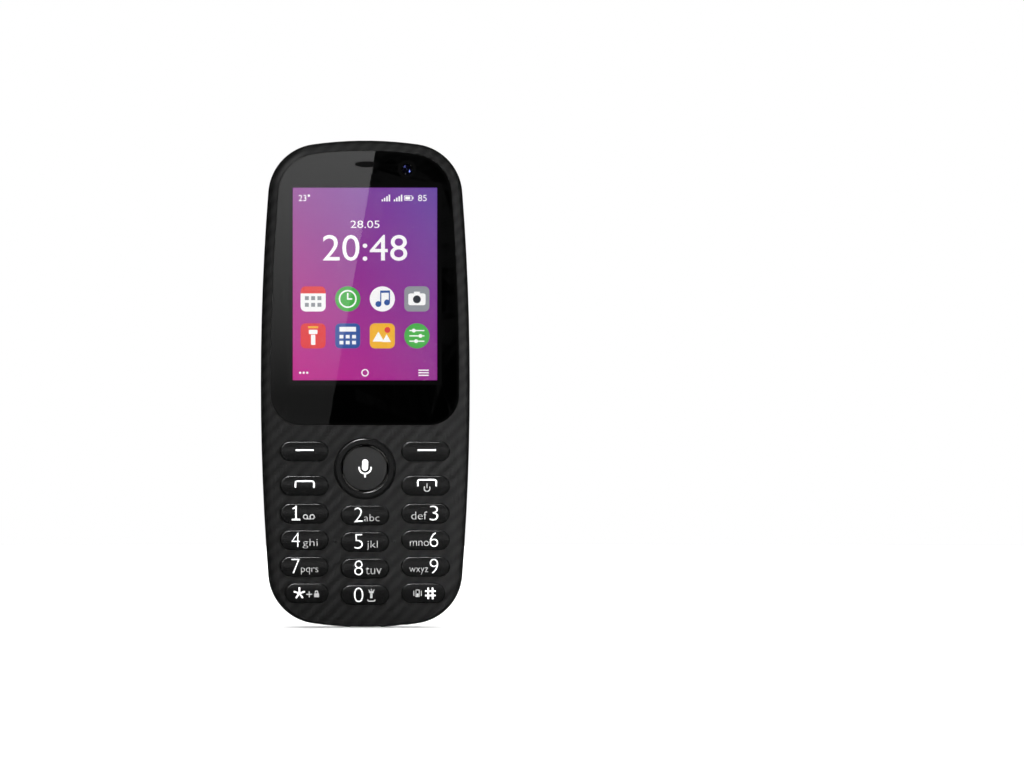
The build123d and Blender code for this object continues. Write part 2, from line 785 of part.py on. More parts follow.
def keypad_mat():
    """A silicone web with a foot all round; the key posts pass through it."""
    reach = block(0, mat_top - length / 2, width, length, mat_front_y - overrun, board_front_y)
    web = plate(mat_inset, mat_front_y, mat_back_y) & reach
    rim_bottom = board_front_y - dome_film
    rim = plate(mat_inset, mat_back_y, rim_bottom) & reach
    inner_z = mat_top - mat_rim - length / 2
    inner_reach = block(0, inner_z, width, length, mat_front_y - overrun, board_front_y)
    rim -= plate(mat_inset + mat_rim, mat_back_y - fit, rim_bottom + fit) & inner_reach
    mat = web + rim
    for name, x, z, size_x in keys:
        mat -= disc(x, z, key_post_radius + mat_hole_gap, mat_front_y - fit, mat_back_y + fit)
    mat -= disc(0, nav_z, nav_room_radius, mat_front_y - fit, rim_bottom + fit)
    for x, z in screws:
        mat -= disc(x, z, boss_foot_radius + slip, mat_front_y - fit, rim_bottom + fit)
    for x, z in dome_places:
        mat -= disc(x, z, dome_radius + mat_hole_gap, mat_back_y, rim_bottom + fit)
    return mat


def dome_cap(x, z):
    """A shallow metal dome under one key."""
    ball_radius = (dome_radius ** 2 + dome_height ** 2) / (2 * dome_height)
    ball = Pos(x, dome_top_y + ball_radius, z) * Sphere(ball_radius)
    return ball & disc(x, z, 2 * dome_radius, dome_top_y - fit, dome_top_y + dome_height + dome_film / 2)


def dome_sheet():
    reach = block(0, mat_top - length / 2, width, length, dome_top_y, board_front_y)
    sheet = plate(dome_inset, board_front_y - dome_film, board_front_y) & reach
    for x, z in screws:
        sheet -= disc(x, z, boss_foot_radius + slip, dome_top_y, board_front_y + fit)
    for x, z in dome_places:
        sheet += dome_cap(x, z)
    for x, z in led_places():
        sheet -= block(x, z, led_size + 2 * fit, led_size + 2 * fit, dome_top_y, board_front_y + fit)
    return sheet


# Main board
def led_places():
    rows = [first_row_z + (0.5 - row) * row_pitch for row in (0, 1, 3)]
    return [(side * marker_x, z) for z in rows for side in (-1, 1)]


def keypad_leds():
    led_front_y = board_front_y - led_thickness
    return [block(x, z, led_size, led_size, led_front_y, board_front_y) for x, z in led_places()]


def main_board():
    board = plate(board_inset, board_front_y, board_back_y)
    for x, z in screws:
        board -= disc(x, z, boss_radius + slip, board_front_y - fit, board_back_y + fit)
    return board - connector_room(notch_gap) - end_channel()


def end_channel():
    """Room below the connectors, so that a board or chassis edge is notched and not left as a sliver."""
    usb = Pos(0, usb_y, usb_setback) * Box(
        usb_width + 2 * notch_gap, usb_thickness + 2 * notch_gap, 2 * usb_length)
    jack = Pos(jack_x, jack_y, jack_setback) * Box(
        jack_body_width + 2 * notch_gap, jack_body_thickness + 2 * notch_gap, jack_body_length)
    low_mic = Pos(bottom_mic_x, bottom_mic_y, 0) * Box(
        2 * (mic_capsule_radius + notch_gap), 2 * (mic_capsule_radius + notch_gap), 2 * bottom_mic_z)
    top_reach = length - top_mic_z
    high_mic = Pos(top_mic_x, top_mic_y, length) * Box(
        2 * (mic_capsule_radius + notch_gap), 2 * (mic_capsule_radius + notch_gap), 2 * top_reach)
    return usb + jack + low_mic + high_mic


def shield_can(x, z, size_x, size_z):
    can = block(x, z, size_x, size_z, board_back_y, board_back_y + can_height, can_corner)
    hollow = block(x, z, size_x - 2 * can_wall, size_z - 2 * can_wall, board_back_y - fit,
                   board_back_y + can_height - can_wall, can_corner - can_wall)
    return can - hollow


def chip(x, z, size_x, size_z):
    return block(x, z, size_x, size_z, board_back_y, board_back_y + chip_thickness)


def board_chips():
    main_z = can_right_z + can_right_height / 2 - can_wall - chip_room - main_chip_size / 2
    memory_z = main_z - main_chip_size / 2 - chip_gap - memory_chip_height / 2
    return [chip(can_right_x, main_z, main_chip_size, main_chip_size),
            chip(can_right_x, memory_z, memory_chip_width, memory_chip_height),
            chip(can_left_x, can_left_z, radio_chip_size, radio_chip_size)]


def card_socket(x, size_x, contacts):
    """A card socket: a frame with a recess that the card slides into and sprung contacts on its floor."""
    back = board_back_y + socket_thickness
    socket = block(x, socket_z, size_x, socket_height, board_back_y, back)
    inner_x = size_x - 2 * socket_frame
    floor_y = back - socket_recess
    slot_z = socket_z - socket_frame
    socket -= block(x, slot_z, inner_x, socket_height, floor_y, back + fit)
    for index in range(contacts):
        column = index % (contacts // 2)
        row = index // (contacts // 2)
        step = inner_x / (contacts // 2)
        place_x = x + (column + 0.5) * step - inner_x / 2
        place_z = socket_z + (row - 0.5) * socket_height / 2
        socket += block(place_x, place_z, contact_width, contact_length, floor_y, floor_y + contact_height)
    return socket


# Connectors and microphones
def usb_connector():
    shell = Pos(0, 0, usb_setback) * extrude(usb_outline(0), dir=(0, 0, 1), amount=usb_length)
    hollow = Pos(0, 0, usb_setback - fit) * extrude(usb_outline(-usb_wall), dir=(0, 0, 1),
                                                    amount=usb_length - usb_wall + fit)
    tongue_y = usb_y + usb_thickness / 2 - usb_wall - usb_tongue_gap - usb_tongue_thickness / 2
    tongue = Pos(0, tongue_y, usb_setback + usb_length / 2 + usb_wall / 2) * Box(
        usb_tongue_width, usb_tongue_thickness, usb_length - usb_wall)
    return (shell - hollow) + tongue


def headphone_jack():
    body = Pos(jack_x, jack_y, jack_setback + jack_body_length / 2) * Box(
        jack_body_width, jack_body_thickness, jack_body_length)
    body += rod_up(jack_x, jack_y, jack_nose_radius, jack_setback - jack_nose_length, jack_setback)
    bore_bottom = jack_setback - jack_nose_length
    return body - rod_up(jack_x, jack_y, jack_radius, bore_bottom - fit, bore_bottom + jack_bore_length)


def microphone(x, y, z, port_down):
    capsule = rod_up(x, y, mic_capsule_radius, z, z + mic_capsule_length)
    port_z = z if port_down else z + mic_capsule_length
    return capsule - rod_up(x, y, mic_port_radius, port_z - mic_port_depth, port_z + mic_port_depth)


# Chassis
bay_middle_z = battery_bottom + battery_height / 2
battery_front_y = floor_back_y + fit
bay_top_y = floor_back_y + bay_wall_height


def walled_pocket(x, z, size_x, size_z, corner=0):
    """A low wall round a component on the chassis floor."""
    wall_top = floor_back_y + pocket_wall_height
    outer = block(x, z, size_x + 2 * (slip + bay_wall), size_z + 2 * (slip + bay_wall),
                  floor_back_y - fit, wall_top, corner)
    return outer - block(x, z, size_x + 2 * slip, size_z + 2 * slip, floor_back_y - fit,
                         wall_top + fit, corner)


def chassis():
    frame = plate(chassis_inset, floor_front_y, floor_back_y)
    rim = plate(chassis_inset, board_back_y, floor_front_y)
    rim -= plate(chassis_inset + chassis_rim, board_back_y - fit, floor_front_y)
    for x, z in screws:
        rim -= disc(x, z, boss_radius + slip, board_back_y - fit, floor_front_y)
    frame += rim
    bay_x = battery_width + 2 * bay_gap
    bay_z = battery_height + 2 * bay_gap
    walls = block(0, bay_middle_z, bay_x + 2 * bay_wall, bay_z + 2 * bay_wall, floor_back_y - fit, bay_top_y)
    walls -= block(0, bay_middle_z, bay_x, bay_z, floor_back_y - fit, bay_top_y + fit)
    contact_z = battery_bottom - bay_gap - contact_block_height / 2
    walls -= block(0, contact_z, contact_block_width + 2 * slip, contact_block_height + 2 * slip,
                   floor_back_y, bay_top_y + fit)
    frame += walls
    frame += walled_pocket(speaker_x, speaker_z, speaker_width, speaker_height, speaker_corner)
    frame += walled_pocket(camera_x, camera_z, camera_body_size, camera_body_size)
    frame += block(camera_x, flash_z, flash_post_size, flash_post_size, floor_back_y, flash_led_front_y)
    card_window = (floor_front_y - fit, floor_back_y + fit)
    frame -= block(0, socket_z, card_window_width, card_window_height, *card_window)
    for x, z in screws:
        frame -= disc(x, z, screw_radius + screw_hole_gap, floor_front_y - fit, floor_back_y + fit)
    return frame - connector_room(notch_gap) - end_channel()


def chassis_screws():
    parts = []
    for x, z in screws:
        screw = disc(x, z, screw_radius, floor_front_y - screw_bite, floor_back_y)
        screw += disc(x, z, screw_head_radius, floor_back_y, floor_back_y + screw_head_height)
        recess_front = floor_back_y + screw_head_height - screw_recess_depth
        recess_back = floor_back_y + screw_head_height + fit
        screw -= block(x, z, screw_recess_width, screw_recess_width / 3, recess_front, recess_back)
        screw -= block(x, z, screw_recess_width / 3, screw_recess_width, recess_front, recess_back)
        parts.append(screw)
    return parts


# Battery side
def battery():
    pack = block(0, bay_middle_z, battery_width, battery_height, battery_front_y,
                 battery_front_y + battery_thickness)
    return fillet(pack.edges().filter_by(Axis.Z), battery_round)


def battery_contacts():
    contact_z = battery_bottom - bay_gap - contact_block_height / 2
    front = floor_back_y + glue
    back = front + contact_block_thickness
    body = block(0, contact_z, contact_block_width, contact_block_height, front, back)
    tip_z = contact_z + contact_block_height / 2
    for step in (-1, 0, 1):
        body += block(step * contact_pitch, tip_z, contact_width, 2 * contact_tip,
                      front + contact_height, back - contact_height)
    return body


motor_y = floor_back_y + glue + motor_radius
weight_left_x = motor_left_x + motor_length + weight_gap


def rod_across(x_low, x_high, y, z, radius):
    return Pos((x_low + x_high) / 2, y, z) * Rot(0, 90, 0) * Cylinder(radius, x_high - x_low)


def vibration_motor():
    can_end = motor_left_x + motor_length
    can = rod_across(motor_left_x, can_end, motor_y, motor_z, motor_radius)
    bore_start = motor_left_x + motor_length / 2
    return can - rod_across(bore_start, can_end + fit, motor_y, motor_z, shaft_radius + shaft_gap)


def vibration_weight():
    """A half-round tungsten weight on the motor's shaft."""
    weight_end = weight_left_x + weight_length
    weight = rod_across(weight_left_x, weight_end, motor_y, motor_z, weight_radius)
    upper = Pos(weight_left_x + weight_length / 2, motor_y, motor_z + weight_radius + shaft_radius) * Box(
        2 * weight_length, 3 * weight_radius, 2 * weight_radius)
    shaft_start = motor_left_x + motor_length / 2 + shaft_gap
    return (weight - upper) + rod_across(shaft_start, weight_end, motor_y, motor_z, shaft_radius)


# Loudspeaker
speaker_front_y = floor_back_y + glue
speaker_back_y = speaker_front_y + speaker_thickness


def loudspeaker():
    body = block(speaker_x, speaker_z, speaker_width, speaker_height, speaker_front_y, speaker_back_y,
                 speaker_corner)
    cone_x = speaker_width - 2 * speaker_cone_border
    cone_z = speaker_height - 2 * speaker_cone_border
    body -= block(speaker_x, speaker_z, cone_x, cone_z, speaker_back_y - speaker_cone_depth,
                  speaker_back_y + fit, speaker_corner - speaker_cone_border)
    return body + disc(speaker_x, speaker_z, cone_z / 3, speaker_back_y - speaker_cone_depth,
                       speaker_back_y - speaker_cone_depth / 2)


def speaker_gasket():
    back = speaker_back_y + gasket_thickness
    ring = block(speaker_x, speaker_z, speaker_width, speaker_height, speaker_back_y, back, speaker_corner)
    hole_width = speaker_width - 2 * gasket_border
    hole_height = speaker_height - 2 * gasket_border
    return ring - block(speaker_x, speaker_z, hole_width, hole_height, speaker_back_y - fit, back + fit,
                        speaker_corner - gasket_border)


def grille_holes():
    """Eight columns by four rows; the holes grow towards the middle of the pattern."""
    holes = []
    for column in range(grille_columns):
        for row in range(grille_rows):
            from_middle_x = column - (grille_columns - 1) / 2
            from_middle_z = row - (grille_rows - 1) / 2
            near_x = max(0, 1 - abs(from_middle_x) / (grille_columns / 2))
            near_z = max(0, 1 - abs(from_middle_z) / grille_rows)
            x = speaker_x + from_middle_x * grille_pitch_x
            z = speaker_z - from_middle_z * grille_pitch_z
            holes.append((x, z, grille_radius + grille_growth * near_x * near_z))
    return holes


def speaker_mesh():
    mesh_x = (grille_columns - 1) * grille_pitch_x + 2 * mesh_margin
    mesh_z = (grille_rows - 1) * grille_pitch_z + 2 * mesh_margin
    mesh_back_y = cover_inner_y - glue
    return block(speaker_x, speaker_z, mesh_x, mesh_z, mesh_back_y - mesh_thickness, mesh_back_y)


# Rear cover and camera island
flange_ring_back_y = cover_inner_y - island_flange_gap
flange_ring_front_y = flange_ring_back_y - island_flange_thickness
glass_back_y = back_y - glue
glass_front_y = glass_back_y - glass_thickness
ring_back_y = glass_front_y - glue
ring_front_y = ring_back_y - camera_ring_thickness
camera_front_y = floor_back_y + glue
flash_lens_back_y = glass_front_y - glue
flash_lens_front_y = flash_lens_back_y - flash_lens_thickness
flash_led_back_y = flash_lens_front_y - flash_lens_gap
flash_led_front_y = flash_led_back_y - flash_led_thickness


def outer_crown():
    levels = crown_levels(0)[0]
    band = loft([level(seam_bevel, seam_y), level(0, seam_y + seam_bevel),
                 level(back_band_draft, crease_y)], True)
    return band + loft(levels)


def rear_cover():
    levels, start_y, first = crown_levels(cover_wall)
    outer = outer_crown()
    crease = plan_wire(first, first, first, start_y)
    inner = loft(levels) + loft([level(cover_wall, seam_y - fit), crease], True)
    cover = outer - inner
    cover -= block(camera_x, island_z, island_width + 2 * glue, island_height + 2 * glue,
                   cover_inner_y - overrun, back_y + fit, island_corner + glue)
    holes = Sketch() + [Pos(x, z) * Circle(radius) for x, z, radius in grille_holes()]
    cover -= prism(holes, cover_inner_y - fit, back_y + fit)
    notch = Pos(width / 2, seam_y, (notch_bottom + notch_top) / 2) * Box(
        width, 2 * notch_height, notch_top - notch_bottom)
    cover -= notch - plate(notch_depth, seam_y - overrun, seam_y + 2 * notch_height)
    return cover - end_openings() - connector_room(slip)


def camera_bezel():
    frame = block(camera_x, island_z, island_width, island_height, flange_ring_front_y, back_y,
                  island_corner)
    frame += block(camera_x, island_z, island_width + 2 * island_flange, island_height + 2 * island_flange,
                   flange_ring_front_y, flange_ring_back_y, island_corner + island_flange)
    frame -= block(camera_x, island_z, glass_width + 2 * glue, glass_height + 2 * glue, glass_front_y,
                   back_y + fit, glass_corner + glue)
    frame -= block(camera_x, island_z, glass_width - 2 * glass_seat, glass_height - 2 * glass_seat,
                   flange_ring_front_y - fit, glass_front_y + fit, glass_corner - glass_seat)
    return frame & outer_crown()


def camera_window():
    return block(camera_x, island_z, glass_width, glass_height, glass_front_y, glass_back_y, glass_corner)


def camera_ring():
    ring = disc(camera_x, camera_z, camera_ring_radius, ring_front_y, ring_back_y)
    return ring - disc(camera_x, camera_z, camera_ring_radius - camera_ring_width, ring_front_y - fit,
                       ring_back_y + fit)


def rear_camera():
    barrel_back = ring_front_y - camera_ring_gap
    body_back = barrel_back - camera_barrel_length
    body = block(camera_x, camera_z, camera_body_size, camera_body_size, camera_front_y, body_back,
                 camera_body_corner)
    body += disc(camera_x, camera_z, camera_barrel_radius, body_back, barrel_back)
    lens_floor = barrel_back - camera_lens_depth
    return body - disc(camera_x, camera_z, camera_lens_radius, lens_floor, barrel_back + fit)


def flash_led():
    return block(camera_x, flash_z, flash_led_size, flash_led_size, flash_led_front_y, flash_led_back_y)


def flash_lens():
    return disc(camera_x, flash_z, flash_lens_radius, flash_lens_front_y, flash_lens_back_y)


# Antenna
def antenna_carrier():
    return block(0, antenna_z, antenna_width, antenna_height, floor_back_y + glue,
                 floor_back_y + glue + antenna_thickness, antenna_corner)


def antenna_flex():
    front = floor_back_y + glue + antenna_thickness
    back = front + antenna_film
    film_x = antenna_width - 2 * antenna_border
    film_z = antenna_height - 2 * antenna_border
    film = block(0, antenna_z, film_x, film_z, front, back)
    for side in (-1, 1):
        slot_x = side * film_x / 4
        film -= block(slot_x, antenna_z + side * antenna_slot, antenna_slot, film_z, front - fit, back + fit)
    return film


save("front_housing", front_housing())
save("display_window", display_window())
save("window_adhesive", window_adhesive())
save("display_module", display_module())
save("display_flex", display_flex())
save("display_connector", display_connector())
save("earpiece_mesh", earpiece_mesh())
save("earpiece_receiver", earpiece_receiver())
save("front_camera", front_camera())
for name, x, z, size_x in keys:
    save(name, pill_key(x, z, size_x))
save("nav_ring", nav_ring())
save("nav_ring_pad", nav_ring_pad())
save("ok_key", ok_key())
save("keypad_mat", keypad_mat())
save("dome_sheet", dome_sheet())
save("keypad_leds", keypad_leds())
save("main_board", main_board())
save("shield_cans", [shield_can(can_left_x, can_left_z, can_left_width, can_left_height),
                     shield_can(can_right_x, can_right_z, can_right_width, can_right_height)])
save("board_chips", board_chips())
save("sim_socket_left", card_socket(-sim_x, sim_width, 6))
save("sim_socket_right", card_socket(sim_x, sim_width, 6))
save("memory_card_socket", card_socket(0, card_width, 8))
save("usb_connector", usb_connector())
save("headphone_jack", headphone_jack())
save("bottom_microphone", microphone(bottom_mic_x, bottom_mic_y, bottom_mic_z, True))
save("top_microphone", microphone(top_mic_x, top_mic_y, top_mic_z, False))
save("chassis", chassis())
save("chassis_screws", chassis_screws())
save("battery_contacts", battery_contacts())
save("battery", battery())
save("vibration_motor", vibration_motor())
save("vibration_weight", vibration_weight())
save("loudspeaker", loudspeaker())
save("speaker_gasket", speaker_gasket())
save("speaker_mesh", speaker_mesh())
save("antenna_carrier", antenna_carrier())
save("antenna_flex", antenna_flex())
save("rear_cover", rear_cover())
save("camera_bezel", camera_bezel())
save("camera_window", camera_window())
save("camera_ring", camera_ring())
save("rear_camera", rear_camera())
save("flash_led", flash_led())
save("flash_lens", flash_lens())
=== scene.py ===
# A feature phone with a number pad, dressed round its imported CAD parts.
# The script follows the phone as it is put together: camera and studio, front shell, window,
# display, keys, board and what sits on it, battery side, rear cover, camera island.
import math

import bpy
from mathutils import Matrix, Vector

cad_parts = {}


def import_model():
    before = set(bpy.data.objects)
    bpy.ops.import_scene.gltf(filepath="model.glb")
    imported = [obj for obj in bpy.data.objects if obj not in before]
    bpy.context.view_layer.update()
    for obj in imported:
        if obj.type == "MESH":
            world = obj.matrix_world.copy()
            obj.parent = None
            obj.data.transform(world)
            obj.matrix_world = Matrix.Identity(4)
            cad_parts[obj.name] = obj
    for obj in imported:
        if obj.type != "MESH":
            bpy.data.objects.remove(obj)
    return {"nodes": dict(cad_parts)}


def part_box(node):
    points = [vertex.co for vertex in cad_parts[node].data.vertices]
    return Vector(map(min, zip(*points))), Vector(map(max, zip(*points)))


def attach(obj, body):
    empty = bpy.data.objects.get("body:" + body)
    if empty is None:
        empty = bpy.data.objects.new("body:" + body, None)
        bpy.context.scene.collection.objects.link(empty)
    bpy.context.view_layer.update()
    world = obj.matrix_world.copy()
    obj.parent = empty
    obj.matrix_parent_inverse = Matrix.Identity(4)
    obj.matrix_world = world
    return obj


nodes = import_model()["nodes"]
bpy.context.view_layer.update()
mm = 0.001
upright = (math.radians(90), 0, 0)


# Camera
# The photograph shows the phone from straight in front through a long lens. The phone stands
# left of the middle of the frame, so the camera stands to its right and looks along +Y.
camera_distance = 2175 * mm
camera_right = 37.4 * mm
camera_height = 61.7 * mm
lens_length = 299.8
sensor_width = 36.0

bpy.ops.object.camera_add(location=(camera_right, -camera_distance, camera_height),
                          rotation=upright)
camera = bpy.context.object
camera.data.lens = lens_length
camera.data.sensor_width = sensor_width
camera.data.clip_start = 0.1
camera.data.clip_end = 20
bpy.context.scene.camera = camera


# Studio
# A pale paper floor in a white surround, with softboxes above, in front and behind. Black
# glossy plastic shows mostly what it mirrors, so what it mirrors here is dim but for the
# softboxes and one tall card behind the camera, whose slanting edge shows in the window.
floor_radius = 1100 * mm
surround_white = 1.0
surround_dim = 0.008


def linear(code):
    """An sRGB hex colour as the linear values that shaders work in."""
    values = [int(code[i:i + 2], 16) / 255 for i in (1, 3, 5)]
    return [v / 12.92 if v <= 0.04045 else ((v + 0.055) / 1.055) ** 2.4 for v in values] + [1]


def add_node(tree, kind, links=None, out=None, **settings):
    """Adds a node and returns it, or one of its outputs.

    The links are its inputs, as values or as sockets, the settings its own properties.
    """
    node = tree.nodes.new("ShaderNode" + kind)
    for name, value in settings.items():
        setattr(node, name, value)
    for name, value in (links or {}).items():
        socket = node.inputs[name]
        if isinstance(value, bpy.types.NodeSocket):
            tree.links.new(value, socket)
        else:
            socket.default_value = value
    return node if out is None else node.outputs[out]


def object_point(tree):
    return add_node(tree, "TexCoord", out="Object")


def ranged(tree, value, low, high, start=0.0, end=1.0):
    """Runs from start to end while a value goes from low to high."""
    return add_node(tree, "MapRange", {"Value": value, "From Min": low, "From Max": high,
                                       "To Min": start, "To Max": end}, "Result")


def mixed(tree, share, low, high):
    """Mixes two colours. Their sockets share names with others, so they go by place."""
    return add_node(tree, "Mix", {"Factor": share, 6: low, 7: high}, 2, data_type="RGBA")


def start_material(name, colour, roughness, metallic=0.0, ior=1.5, glow="#ffffff", strength=0.0):
    """A material with one shader, whose plain values sit on the shader's own sockets."""
    material = bpy.data.materials.new(name)
    material.use_nodes = True
    shader = material.node_tree.nodes["Principled BSDF"]
    for socket, value in (("Base Color", linear(colour)), ("Roughness", roughness),
                          ("Metallic", metallic), ("IOR", ior),
                          ("Emission Color", linear(glow)), ("Emission Strength", strength)):
        shader.inputs[socket].default_value = value
    return material, material.node_tree, shader


def emboss(tree, shader, height, depth, **settings):
    """Bumps the surface by a pattern of heights."""
    bump = add_node(tree, "Bump", {"Distance": depth, "Height": height}, "Normal", **settings)
    tree.links.new(bump, shader.inputs["Normal"])


def two_colours(tree, shader, share, low, high):
    colour = mixed(tree, share, linear(low), linear(high))
    tree.links.new(colour, shader.inputs["Base Color"])


def grain(tree, shader, size, depth):
    """Fine moulded, sprayed or cast grain: a bump of that size and depth."""
    noise = add_node(tree, "TexNoise", {
        "Vector": object_point(tree), "Scale": 1 / size, "Detail": 3.0}, "Fac")
    emboss(tree, shader, noise, depth)
    return noise


def grained(name, colour, roughness, size, depth, **more):
    """A material of one colour, whose surface has nothing but its grain."""
    material, tree, shader = start_material(name, colour, roughness, **more)
    grain(tree, shader, size, depth)
    return material


def add_piece(operator, **settings):
    """Adds an object, with nothing else selected."""
    bpy.ops.object.select_all(action="DESELECT")
    operator(**settings)
    return bpy.context.object


floor = add_piece(bpy.ops.mesh.primitive_circle_add, vertices=96, radius=floor_radius,
                  fill_type="NGON")
floor.name = "floor"
# Matt paper: white, with fibres too fine to see from here.
floor.data.materials.append(grained("matt_white_paper", "#f7f7f7", 0.9, 1.5 * mm, 0.02 * mm))
floor.visible_glossy = False
floor.visible_transmission = False

world = bpy.data.worlds.new("studio")
bpy.context.scene.world = world
world.use_nodes = True
tree = world.node_tree
ray = add_node(tree, "LightPath", out="Is Camera Ray")
level = add_node(tree, "Mix", {
    "Factor": ray, "A": surround_dim, "B": surround_white}, "Result", data_type="FLOAT")
tree.links.new(level, tree.nodes["Background"].inputs["Strength"])
tree.nodes["Background"].inputs["Color"].default_value = (1, 1, 1, 1)
bpy.context.scene.view_settings.view_transform = "Standard"


def softbox(name, place, aim, width, height, power):
    """A rectangular softbox that the camera doesn't see."""
    light = add_piece(bpy.ops.object.light_add, type="AREA", location=place)
    light.name = name
    light.data.shape = "RECTANGLE"
    light.data.size = width
    light.data.size_y = height
    light.data.energy = power
    light.rotation_euler = (Vector(aim) - Vector(place)).to_track_quat("-Z", "Y").to_euler()
    light.visible_camera = False
    return light


def flagged(light, names, state):
    """Keeps a light to some CAD pieces, or off them, as flags on stands do in a studio."""
    group = bpy.data.collections.new(light.name)
    for name in names:
        group.objects.link(nodes[name])
    for member in group.collection_objects:
        member.light_linking.link_state = state
    light.light_linking.receiver_collection = group


phone_middle = (0, 0, camera_height)
above = softbox("softbox_above", (0, 0.2, 1.6), phone_middle, 2.2, 2.2, 52)
softbox("strip_above", (0, -0.3, 1.5), phone_middle, 1.2, 0.5, 0.8)
softbox("softbox_front_left", (-0.75, -1.1, 0.95), phone_middle, 0.5, 0.5, 5.5)
near_right = softbox("softbox_near_right", (0.08, -0.11, 0.05), (0.01, 0, 0.05), 0.03, 0.12, 0.25)
above.visible_glossy = near_right.visible_glossy = False
softbox("softbox_right", (1.2, -0.25, 0.35), phone_middle, 0.3, 0.9, 0.8)
key_names = [name for name in nodes if name.startswith("key_") or name.endswith("_key")]
key_strip = softbox("strip_key_edges", (-0.35, -0.25, 1.4), phone_middle, 0.7, 0.5, 45)
flagged(key_strip, key_names + ["nav_ring"], "INCLUDE")
back_left = softbox("softbox_back_left", (-0.45, 1.3, 0.8), phone_middle, 0.9, 0.7, 8)
back_right = softbox("softbox_back_right", (0.5, 1.2, 0.6), phone_middle, 0.6, 0.8, 5)
for light in (back_left, back_right):
    flagged(light, ["front_housing"], "EXCLUDE")

# The card stands behind the camera. A point of the glass mirrors a point of the card that lies
# further from the camera's line by mirror_spread. Its edge is worked out from where the
# photograph shows the slanting line on the glass.
card_reach = 2500 * mm
glass_y = -6.8 * mm
mirror_spread = card_reach / (camera_distance + glass_y)
line_top = (2.7 * mm, 121.1 * mm)
line_foot = (-7.9 * mm, 59.1 * mm)
card_size = 420 * mm
card_light_top = 1.75
card_light_foot = 0.25


def mirrored(x, z):
    return Vector((x + (x - camera_right) * mirror_spread, glass_y - card_reach,
                   z + (z - camera_height) * mirror_spread))


edge_top = mirrored(*line_top)
edge_foot = mirrored(*line_foot)
edge_way = (edge_top - edge_foot).normalized()
card = add_piece(bpy.ops.mesh.primitive_plane_add, size=card_size,
                 location=(edge_top + edge_foot) / 2, rotation=upright)
card.name = "reflector_card"
bpy.ops.object.transform_apply(location=True, rotation=True, scale=True)
bpy.ops.object.mode_set(mode="EDIT")
bpy.ops.mesh.select_all(action="SELECT")
bpy.ops.mesh.bisect(plane_co=edge_foot, plane_no=(edge_way.z, 0, -edge_way.x), clear_outer=True)
bpy.ops.object.mode_set(mode="OBJECT")
# A lit card that fades towards its foot, as the bright part of the photograph's glass does.
card_material, tree, shader = start_material("lit_card", "#000000", 1.0)
height = add_node(tree, "SeparateXYZ", {"Vector": object_point(tree)}, "Z")
fade = ranged(tree, height, edge_foot.z, edge_top.z, card_light_foot, card_light_top)
tree.links.new(fade, shader.inputs["Emission Strength"])
card.data.materials.append(card_material)
card.visible_camera = card.visible_diffuse = card.visible_shadow = False


# Front housing
# The front shell is injection-moulded ABS. Its face, its chin and the front of its rounded
# edge carry a moulded weave like that of carbon cloth. Its side is left plain satin.
weave_pitch = 0.9 * mm
weave_depth = 0.014 * mm
weave_start_y = -4.6 * mm
weave_full_y = -5.0 * mm
seam_y = -1.03 * mm
seam_half_width = 0.14 * mm


def paint(material, *names):
    """Gives whole CAD nodes a material."""
    for name in names:
        slots = nodes[name].data.materials
        slots.clear()
        slots.append(material)


